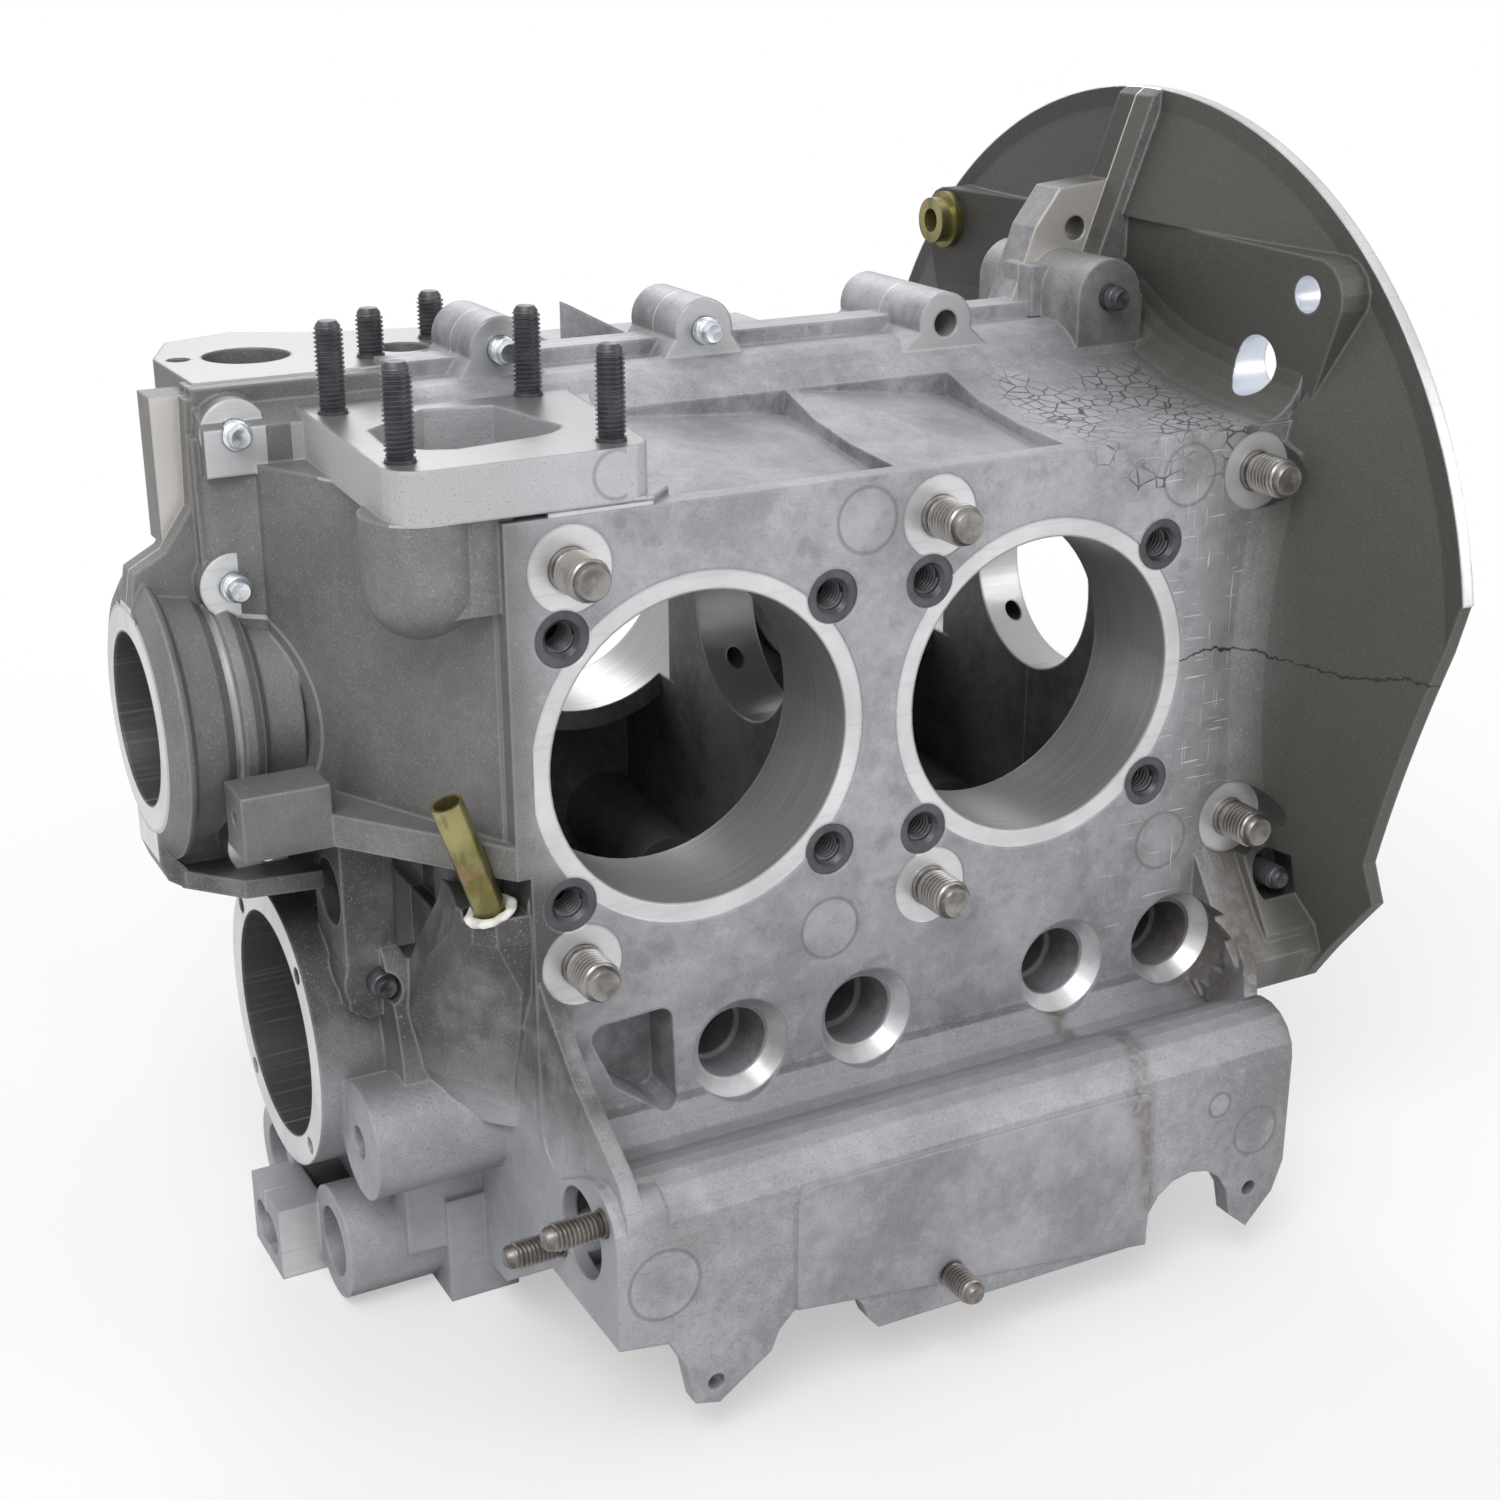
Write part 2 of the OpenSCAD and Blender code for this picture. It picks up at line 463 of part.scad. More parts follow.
// Bores and holes of one half; every piece that is fitted later takes its hole from the same sizes
module bores(x_bank) {
    for (side = [-1, 1]) {
        x = x_bank + side * bore_pitch / 2;
        bar_w(bore_r, deck_w - bore_depth - 8, deck_w + 2, x, 0);
        bar_w(ring_r, deck_w - ring_depth, deck_w + 2, x, 0);
        bar_w(bore_r + 1, deck_w, deck_w + blend_r, x, 0);
        for (sx = [-1, 1], sz = [-1, 1])
            bar_w(insert_d / 2, deck_w - insert_length - ring_depth, deck_w + 2,
                  x + sx * insert_half_x, sz * insert_half_z);
    }
    for (x = lifter_xs)
        lifter_axis(x) {
            translate([0, 0, -8]) cylinder(r = lifter_d / 2, h = lifter_length + 2);
            translate([0, 0, lifter_length - tube_hole_depth]) cylinder(r = tube_hole_d / 2, h = 40);
        }
    for (x = lifter_xs) translate([x, deck_w, tube_z]) rotate([90, 0, 0]) {
        cylinder(r1 = tube_seat_d / 2, r2 = tube_hole_d / 2 + 0.9, h = 5.5);
        translate([0, 0, -12]) cylinder(r = tube_seat_d / 2, h = 12.001);
    }
    bar_x(main_r, -main_pitch - web_t, chamber_rear + 8, 0, 0);
    bar_x(main_r + 12.5, chamber_rear - 2, chamber_rear + 10, 0, 0);
    bar_x(nose_bearing_d / 2, -nose_x - 1, -main_pitch, 0, 0);
    bar_x(cam_bearing_d / 2, -box_front - 2, chamber_rear + 4, 0, -cam_drop);
    bar_x(pump_d / 2, -pump_x - 1, -gear_case_x + wall_t + 3, 0, -cam_drop);
    bar_x(cam_gear_r, -gear_case_x + wall_t, -chamber_front - 4, 0, -cam_drop);
    for (x = [-main_pitch, 0, main_pitch], sz = [-1, 1])
        bar_w(main_stud_d / 2 + hole_gap, -1, deck_w + 2, x, sz * main_stud_z);
    for (x = [-main_pitch, 0, main_pitch], sz = [-1, 1])
        bar_w(spotface_d / 2, deck_w - 0.3, deck_w + 14, x, sz * main_stud_z);
    bar_w(8.5, deck_w, deck_w + 14, rear_low_boss[0], rear_low_boss[1]);
    for (b = concat(top_bosses, [rear_boss], front_bosses, [pump_boss]))
        bar_w(stud_d / 2 + hole_gap, -1, b[2] + joint_stud_proud + 2, b[0], b[1]);
    bar_w(stud_d / 2 + hole_gap, deck_w - 25, deck_w + 2, rear_low_boss[0], rear_low_boss[1]);
    bar_x(13, -box_front - 2, -box_front + wall_t + 3, port_w, port_z);
    for (p = port_studs) bar_x(stud_d / 2 + hole_gap, -box_front - 2, -box_front + 13, p[0], p[1]);
    bar_w(stud_d / 2 + hole_gap, skirt_w - 10, skirt_w + 1, skirt_stud_x, skirt_stud_z);
    for (p = [[tab_front_x, -165.5], [tab_rear_x, -158.5]]) bar_w(2.6, skirt_w - 10, skirt_w + 1, p[0], p[1]);
    bar_x(5, -pump_x, -pump_x + 30, 55, -119);
    bar_x(11, -pump_x, -pump_x + 32, 28, -167);
    for (a = [45, -45]) bar_x(2.7, -pump_x - 1, -pump_x + 16, 39.8 * cos(a), -cam_drop + 39.8 * sin(a));
    bar_x(2.5, -192, -176, 44, -17.5);
    bar_x(10, -162, -148, 33, -49);
    bar_x(7, -pump_x - 9, -pump_x, 4, -174);
    bar_x(mount_hole_r, pad_face_x - 1, flange_x, mount_hole_w, mount_hole_z);
    bar_x(mount_hole_r + 3.5, flat_back_x, flange_x + 1, mount_hole_w, mount_hole_z);
    bar_x(mount_hole_r, 100, flange_x, 112, -96);
    translate([strainer_x, 0, -foot_drop - 1]) cylinder(r = strainer_r - 7, h = 24);
    strainer_place() cylinder(r = strainer_neck_r + hole_gap, h = strainer_stud_proud + 14);
    for (x = [0, main_pitch]) bar_w(oil_hole_d / 2, 10, 44, x, -21);
}

// Pocket cast into the deck below the front cylinder
module deck_pocket() {
    along_w(concat(arc([-106, -80], 4, 190, 90, 3), arc([-89, -79], 4, 80, 0, 3), arc([-88, -103], 4, -20, -110, 3),
                   arc([-101, -94], 3, -130, -170, 2)), deck_w - 16, deck_w + 12);
}

// Scoops in the roof that leave the two cross steps standing
module roof_scoops() {
    for (scoop = [[-90, -12], [-8, 45]])
        translate([0, roof_w, roof_z - 1]) rotate([-7.5, 0, 0])
            along_w([[scoop[0], 0.5], [scoop[1], -6], [scoop[1], 8], [scoop[0], 8]], 0, deck_w - roof_w - 5);
}

module strainer_place() {
    for (i = [0:5])
        translate([strainer_x, 0, -foot_drop + 0.4]) rotate([0, 0, i * 60 + 30]) translate([strainer_r, 0, 0]) children();
}
module on_pickup_axis() {
    translate([strainer_x, 0, pickup_z]) rotate([0, -90, -atan(pickup_w / pickup_run)]) children();
}

module casting(x_bank) {
    difference() {
        union() {
            difference() {
                union() {
                    crank_chamber_outside();
                    chest_outside();
                    nose();
                    pump_snout();
                    flywheel_housing();
                    side_details();
                    joint_bosses();
                    skirt_tabs();
                }
                along_x(cavity_outline, -chamber_front + 1, box_rear - wall_t);
                along_x(rear_cavity, box_rear - wall_t - 1, chamber_rear - 12);
                along_z(chest_cavity, -68, deck_top - 2);
                roof_scoops();
            }
            inside(x_bank);
            strainer_seat();
        }
        bores(x_bank);
        deck_pocket();
        along_x([[-1, -126], [52, -126], [52, -floor_drop + wall_t + 4], [-1, -floor_drop + wall_t]],
                -chamber_front + 1, box_rear - wall_t);
        block(-big, big, -big, 0, -big, big);
    }
}

// Seat of the round strainer under the sump, and the long fins that the case stands on
module strainer_seat() {
    difference() {
        for (i = [0:4])
            along_x([[fin_w[i] + 3, -floor_drop + 9], [fin_w[i] + 1.5, -fin_z[i]], [fin_w[i] - 1.5, -fin_z[i]],
                     [fin_w[i] - 3, -floor_drop + 9]], -104, box_rear - 4);
        translate([strainer_x, 0, -foot_drop - 1]) cylinder(r = strainer_r + 12, h = 30);
    }
    translate([strainer_x, 0, -seat_z]) cylinder(r = strainer_r + 7, h = 16);
}

module right_half() {
    color(cast_tone) mirror([0, 1, 0]) difference() {
        union() {
            casting(-bank_shift);
            right_pad();
        }
        translate([0, 0, pad_z - 40]) linear_extrude(42) polygon(pad_window);
        for (p = pad_studs) bar_z(stud_d / 2 + hole_gap, pad_z - 22, pad_z + 4, p[0], p[1]);
        bar_x(9, 112, 140, 77, 83);
        dipstick_place() translate([0, 0, -20]) cylinder(r = 4.6, h = 60);
        dipstick_place() cylinder(r = 8, h = 6);
    }
}

module right_pad() {
    difference() {
        along_z(pad_outline, pad_z - pad_t, pad_z);
        block(-big, big, -big, 0, -big, big);
    }
}

module left_half() {
    color(cast_tone) difference() {
        union() {
            casting(bank_shift);
            left_pads();
        }
        bar_z(dist_d / 2, 20, dist_z + 1, -155.3, 32.7);
        bar_z(3.4, dist_z - 18, dist_z + 1, -174.4, 35.3);
        for (p = fuel_studs) bar_z(stud_d / 2 + hole_gap, dist_z - 16, dist_z + 1, p[0], p[1]);
        for (b = concat([rear_boss], front_bosses))
            bar_w(stud_d / 2 + 2 * hole_gap, -1, joint_stud_root + 2, b[0], b[1]);
        bar_z(8, dist_z - 30, dist_z + 1, -111, 24);
        bar_w(3.9, -1, 14, 112.7, 115.9);
        on_pickup_axis() cylinder(r = pickup_d / 2 + hole_gap, h = pickup_length + 1);
    }
}

module left_pads() {
    block(chamber_rear, flange_x - blend_r, deck_w - 18, deck_w + blend_r, -30, 30);
    along_z([[-180, 0], [-180.5, 40], [-171, 64], [-149, 72], [-128, 60], [-86, 50], [-84, 0]], dist_z - 10, dist_z);
    bar_z(dist_d / 2 + 6, 30, dist_z - 5, -155.3, 32.7);
    block(-192, -176, 0, 13, 49, 90);
    along_w([[88, 92], [97, 117], [106, 129], [128, 131], [128, 92]], 0, 13);
    along_x([[58, 66], [58, 81], [92, 81], [92, 66]], -43, 36);
    along_w([[-43, 78], [-43, 95.2], [-20.7, 83.3], [-10, 78]], 58, 64);
}

// Steel pieces fitted to the castings
module stud(r, length, tip = 1.2) {
    cylinder(r = r, h = length - tip);
    translate([0, 0, length - tip]) cylinder(r1 = r, r2 = r - tip, h = tip);
}
module stud_out(r, w0, w1, x, z) { translate([x, -w0, z]) rotate([90, 0, 0]) stud(r, w1 - w0); }

main_stud_root = 60;
module main_studs() {
    color(steel_tone) for (x = [-main_pitch, 0, main_pitch], sz = [-1, 1])
        stud_out(main_stud_d / 2, -main_stud_root, deck_w + main_stud_proud, x, sz * main_stud_z);
}

module insert_set(x_bank) {
    for (side = [-1, 1], sx = [-1, 1], sz = [-1, 1])
        translate([x_bank + side * bore_pitch / 2 + sx * insert_half_x, deck_w - ring_depth, sz * insert_half_z])
            rotate([90, 0, 0]) difference() {
                cylinder(r = insert_d / 2 - 0.05, h = insert_length - 0.1);
                translate([0, 0, -1]) cylinder(r = 4.2, h = insert_length + 2);
                translate([0, 0, -0.1]) cylinder(r1 = 5.4, r2 = 4.2, h = 1.3);
            }
}
module right_head_inserts() { color(black_tone) mirror([0, 1, 0]) insert_set(-bank_shift); }
module left_head_inserts() { color(black_tone) insert_set(bank_shift); }

module pedestal_studs() {
    color(black_tone) for (p = pad_studs)
        translate([p[0], -p[1], pad_z - 20]) stud(stud_d / 2, pedestal_stud_h + 20);
}
module fuel_pump_studs() {
    color(black_tone) for (p = fuel_studs)
        translate([p[0], p[1], dist_z - 15]) stud(stud_d / 2, 15 + 14);
}

joint_stud_proud = 7;
joint_stud_root = 12;
module joint_stud(b) { stud_out(stud_d / 2, -joint_stud_root, b[2] + joint_stud_proud, b[0], b[1]); }
module top_case_studs() { color(steel_tone) for (b = [top_bosses[0], top_bosses[1]]) joint_stud(b); }
module front_case_studs() { color(steel_tone) for (b = front_bosses) joint_stud(b); }
module oil_pump_case_stud() {
    color(black_tone) stud_out(stud_d / 2, pump_stud_root, pump_boss[2] + joint_stud_proud, pump_boss[0], pump_boss[1]);
}
module rear_case_stud() { color(black_tone) joint_stud(rear_boss); }
module lower_case_stud() {
    color(black_tone) stud_out(stud_d / 2, deck_w - 24, deck_w + 14, rear_low_boss[0], rear_low_boss[1]);
}

module port_stud_pair() {
    for (p = port_studs) translate([-box_front + 13, p[0], p[1]]) rotate([0, -90, 0]) stud(stud_d / 2, 30);
}
module right_port_studs() { color(steel_tone) mirror([0, 1, 0]) port_stud_pair(); }
module left_port_studs() { color(steel_tone) port_stud_pair(); }

module skirt_studs() {
    color(steel_tone) for (side = [-1, 1])
        translate([skirt_stud_x, side * (skirt_w - 6), skirt_stud_z]) rotate([-side * 90, 0, 0]) stud(stud_d / 2, 20);
}
module strainer_studs() {
    color(steel_tone) strainer_place() {
        translate([0, 0, strainer_stud_proud]) mirror([0, 0, 1]) stud(strainer_stud_d / 2, strainer_stud_proud);
        translate([0, 0, strainer_stud_proud - 1]) cylinder(r = strainer_neck_r, h = 14);
    }
}

module mount_nut() {
    color(zinc_tone) translate([pad_face_x - 8, mount_hole_w, mount_hole_z]) rotate([0, 90, 0]) difference() {
        union() {
            cylinder(r = 8, h = 8);
            translate([0, 0, 5]) cylinder(r = 10, h = 3);
            translate([0, 0, 7]) cylinder(r = 5.4, h = 9);
        }
        translate([0, 0, -1]) cylinder(r = 4.2, h = 20);
    }
}

module dipstick_place() { translate([-134.6, deck_w - 8, -39]) rotate([0, -18.2, 0]) children(); }
module on_dipstick_axis() { mirror([0, 1, 0]) dipstick_place() children(); }
module dipstick_tube() {
    color(zinc_tone) on_dipstick_axis() difference() {
        translate([0, 0, -18]) cylinder(r = 4.5, h = 54);
        translate([0, 0, -19]) cylinder(r = 3.6, h = 56);
    }
}
module tube_sealant() {
    color("white") on_dipstick_axis() difference() {
        translate([0, 0, 0.1]) cylinder(r1 = 7.5, r2 = 5.5, h = 1.6);
        translate([0, 0, -1]) cylinder(r = 4.55, h = 4);
    }
}

// Suction tube from the strainer to the front wall of the sump, which carries it
pickup_bend = 12;
module tube_run(length) {
    difference() {
        cylinder(r = pickup_d / 2, h = length);
        translate([0, 0, -1]) cylinder(r = pickup_d / 2 - 1, h = length + 2);
    }
}
module oil_pickup_tube() {
    color(steel_tone) {
        translate([strainer_x, 0, -floor_drop + 8]) tube_run(pickup_z + floor_drop - 8 - pickup_bend);
        on_pickup_axis() {
            translate([0, 0, pickup_bend]) tube_run(pickup_length - pickup_bend);
            translate([-pickup_bend, 0, pickup_bend]) rotate([90, 0, 0]) rotate([0, 0, -90])
                rotate_extrude(angle = 90) translate([pickup_bend, 0]) difference() {
                    circle(r = pickup_d / 2);
                    circle(r = pickup_d / 2 - 1);
                }
        }
    }
}

right_half();
left_half();
main_studs();
right_head_inserts();
left_head_inserts();
pedestal_studs();
fuel_pump_studs();
top_case_studs();
front_case_studs();
oil_pump_case_stud();
rear_case_stud();
lower_case_stud();
right_port_studs();
left_port_studs();
skirt_studs();
strainer_studs();
mount_nut();
dipstick_tube();
tube_sealant();
oil_pickup_tube();
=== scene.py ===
# %% [markdown]
# An engine case is two thin aluminium castings bolted together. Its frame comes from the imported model,
# so every size and hole is already right. This lesson adds what a casting looks like close up: sand grain,
# milled faces, stains, a long crack, ejector marks, and real threads on every stud.

# %% Load the frame
import math

import bpy
from mathutils import Matrix, Vector, noise


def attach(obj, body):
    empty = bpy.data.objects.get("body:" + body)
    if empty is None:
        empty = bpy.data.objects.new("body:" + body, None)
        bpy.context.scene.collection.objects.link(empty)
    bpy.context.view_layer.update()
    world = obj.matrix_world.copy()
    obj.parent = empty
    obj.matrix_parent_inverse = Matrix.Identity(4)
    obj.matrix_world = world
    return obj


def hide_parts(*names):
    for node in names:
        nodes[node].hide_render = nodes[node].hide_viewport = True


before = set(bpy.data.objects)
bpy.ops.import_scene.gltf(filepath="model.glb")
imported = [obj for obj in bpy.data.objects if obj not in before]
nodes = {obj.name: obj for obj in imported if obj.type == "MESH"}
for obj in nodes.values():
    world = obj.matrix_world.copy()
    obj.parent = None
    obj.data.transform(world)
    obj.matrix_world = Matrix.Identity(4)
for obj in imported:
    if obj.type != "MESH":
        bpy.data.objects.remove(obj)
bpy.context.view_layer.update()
mm = 0.001


# %% [markdown]
# The camera stands where the photograph was taken. Its three directions were solved from the round bores
# and the square stud pattern of the case, which are known sizes seen in perspective.

# %% Camera
right = Vector((0.88179016, -0.47163965, -0.00146988))
down = Vector((-0.16786974, -0.31093829, -0.93548764))
ahead = Vector((0.44075602, 0.82515055, -0.35335635))
camera_data = bpy.data.cameras.new("photo_camera")
camera_data.lens = 53.755
camera_data.sensor_width = 36
camera_data.clip_start = 0.02
camera = bpy.data.objects.new("photo_camera", camera_data)
turn = Matrix((right, -down, -ahead)).transposed().to_4x4()
camera.matrix_world = Matrix.Translation((-0.33142, -0.60592, 0.21492)) @ turn
bpy.context.scene.collection.objects.link(camera)
bpy.context.scene.camera = camera
bpy.context.scene.view_settings.view_transform = "Standard"
print("camera looks along", tuple(round(v, 2) for v in ahead))

# %% [markdown]
# Shader maths reads best as plain sums. A Wire holds one socket of a material, and each operator on it
# adds the Math node that does the sum. Bench is one material with its nodes, and put() adds any other node.

# %% Wires and bench
class Wire:
    def __init__(self, bench, socket):
        self.bench, self.socket = bench, socket

    def sum(self, operation, *others):
        values = dict(enumerate((self,) + others))
        return self.bench.put("Math", {"operation": operation}, values)

    def __add__(self, other):
        return self.sum("ADD", other)

    def __radd__(self, other):
        return self.sum("ADD", other)

    def __sub__(self, other):
        return self.sum("SUBTRACT", other)

    def __rsub__(self, other):
        return self.bench.put("Math", {"operation": "SUBTRACT"}, {0: other, 1: self})

    def __mul__(self, other):
        return self.sum("MULTIPLY", other)

    def __rmul__(self, other):
        return self.sum("MULTIPLY", other)

    def __pow__(self, other):
        return self.sum("POWER", other)

    def __abs__(self):
        return self.sum("ABSOLUTE")

    def over(self, crest_glint_root_shade):
        return self.sum("GREATER_THAN", crest_glint_root_shade)

    def under(self, crest_glint_root_shade):
        return self.sum("LESS_THAN", crest_glint_root_shade)

    def most(self, other):
        return self.sum("MAXIMUM", other)

    def least(self, other):
        return self.sum("MINIMUM", other)

    def fade(self, low, high):
        """0 at low, 1 at high, smooth between them; low may be the larger one"""
        ranges = {"Value": self, "From Min": low, "From Max": high, "To Min": 0.0, "To Max": 1.0}
        return self.bench.put("MapRange", {"interpolation_type": "SMOOTHSTEP"}, ranges)


class Bench:
    def __init__(self, name):
        self.material = bpy.data.materials.new(name)
        self.material.use_nodes = True
        self.tree = self.material.node_tree
        self.tree.nodes.clear()
        spots = self.put("TexCoord", {}, {}, out="Object")
        self.place = spots
        parts = self.tree.nodes.new("ShaderNodeSeparateXYZ")
        self.tree.links.new(spots.socket, parts.inputs[0])
        self.x, self.y, self.z = (Wire(self, parts.outputs[k]) for k in range(3))

    def put(self, kind, settings, sockets, out=0):
        """Adds a node, sets its options, feeds its sockets and gives one output back"""
        node = self.tree.nodes.new("ShaderNode" + kind)
        for name, value in settings.items():
            setattr(node, name, value)
        for name, value in sockets.items():
            if isinstance(value, Wire):
                self.tree.links.new(value.socket, node.inputs[name])
            elif value is not None:
                node.inputs[name].default_value = value
        return Wire(self, node.outputs[out])

    def normal(self):
        """The three parts of the face's own direction, from -1 to 1"""
        facing = self.put("TexCoord", {}, {}, out="Normal")
        parts = self.tree.nodes.new("ShaderNodeSeparateXYZ")
        self.tree.links.new(facing.socket, parts.inputs[0])
        return [Wire(self, parts.outputs[k]) for k in range(3)]

    def grain(self, scale, detail=3.0, rough=0.55, place=None):
        """Noise whose scale counts its spots along one metre"""
        sockets = {"Vector": place or self.place, "Scale": scale, "Detail": detail, "Roughness": rough}
        return self.put("TexNoise", {}, sockets)

    def streaks(self, scales, detail=2.0, turn=0.0):
        """Noise drawn out into lines: small scales along them, large ones across, turned about Y"""
        sockets = {"Vector": self.place, "Rotation": (0, turn, 0), "Scale": scales}
        return self.grain(1.0, detail, 0.5, self.put("Mapping", {}, sockets))

    def mix(self, share, first, second):
        """A colour between two colours, or wires of colour"""
        first = (*first, 1) if isinstance(first, tuple) else first
        second = (*second, 1) if isinstance(second, tuple) else second
        return self.put("Mix", {"data_type": "RGBA"}, {0: share, 6: first, 7: second}, out=2)

    def finish(self, colour, rough, metal, bumps=None, strength=0.3, distance=0.0006, soft=None):
        shader = self.tree.nodes.new("ShaderNodeBsdfPrincipled")
        for name, value in {"Base Color": colour, "Roughness": rough, "Metallic": metal}.items():
            if isinstance(value, Wire):
                self.tree.links.new(value.socket, shader.inputs[name])
            else:
                shader.inputs[name].default_value = (*value, 1) if isinstance(value, tuple) else value
        if bumps is not None:
            sockets = {"Height": bumps, "Strength": strength, "Distance": distance, "Normal": soft}
            soft = self.put("Bump", {}, sockets)
        if soft is not None:
            self.tree.links.new(soft.socket, shader.inputs["Normal"])
        target = self.tree.nodes.new("ShaderNodeOutputMaterial")
        self.tree.links.new(shader.outputs[0], target.inputs[0])
        return self.material


def reach(a, b):
    """Length of the flat vector (a, b)"""
    return (a * a + b * b) ** 0.5


# %% [markdown]
# The casting is one alloy with many finishes. Each finish is found by place: milled faces lie in known
# planes, turned bores at known radii, and the rest keeps the skin that the die left. All masks are worked
# out from Object coordinates, so they sit on the metal from every side.

# %% Places on the casting
# all in millimetres from the crankshaft axis at the centre bearing, with depths away from the parting plane
# each bank's shift along X, half the spacing of its bores, and the bore, bearing, nose and pump radii
BANK, HALF_PITCH = 18.5, 56
REGISTER_R, MAIN_R, NOSE_BORE_R, PUMP_BORE_R = 44.9, 32.5, 25, 35
# depth of the deck and of the skirt's face, top and front edge of the deck, front edge of its milled area
DECK, SKIRT, DECK_TOP, DECK_FRONT, MILLED_FRONT = 98, 147, 71, -131, -124
# heights of the near pad, the far pad, the rail and the tube seats, and depths of the rail's boss ends
PAD_TOP, FAR_PAD_TOP, RAIL, TUBE_Z, RAIL_ENDS = 86, 93, 86, -93.5, (15, 24)
# drops of the camshaft and of the housing's centre, and the radius where its rim is rubbed bright
CAM_DROP, HOUSING_DROP, HOUSING_RIM = 104, 4, 163.1
# flywheel face, nose face, pump face and rear edge of the front bosses along X
FLANGE_X, NOSE_X, PUMP_X, BOSS_REAR = 142, -204, -172, -165
# holes of the housing as (depth, z, radius of the bright wall)
HOUSING_HOLES = [(77, 83, 9.3), (97, 107, 5.8)]
# a face lies square to an axis when its normal passes this
SQUARE = 0.985
# the crack's corners as (x, z), then the ejector marks as (x, z, radius) on the deck and on the skirt
CRACK = [(88, 0.0), (97, 1.5), (108, 1.0), (118, -1.5), (127, -2.5), (133, 0.5), (142, -0.5)]
MARKS = [(-23.6, 57.8, 9.3), (86.8, 57.6, 9.3), (-34.0, -62.3, 9.3), (85.0, -58.7, 9.3), (-98.3, 79.2, 6.4)]
SKIRT_MARKS = [(-112.2, -129.4, 10.5), (89.6, -138.1, 8.0), (74.8, -125.4, 4.0)]


def between(wire, low, high):
    """1 between two edges in millimetres"""
    return wire.over(low * mm) * wire.under(high * mm)


def close_to(wire, middle, slack):
    """1 within a slack of the middle, both in millimetres"""
    return abs(wire - middle * mm).under(slack * mm)


def ramp(wire, low, high):
    """0 at the low edge, 1 at the high one, both in millimetres"""
    return wire.fade(low * mm, high * mm)


def line_gap(a, b, start, end):
    """Distance from the point (a, b) to a straight stretch, whose ends are in millimetres"""
    x0, z0, x1, z1 = (v * mm for v in (*start, *end))
    dx, dz = x1 - x0, z1 - z0
    span = dx * dx + dz * dz
    along = ((a - x0) * (dx / span) + (b - z0) * (dz / span)).most(0.0).least(1.0)
    return reach(a - (along * dx + x0), b - (along * dz + z0))


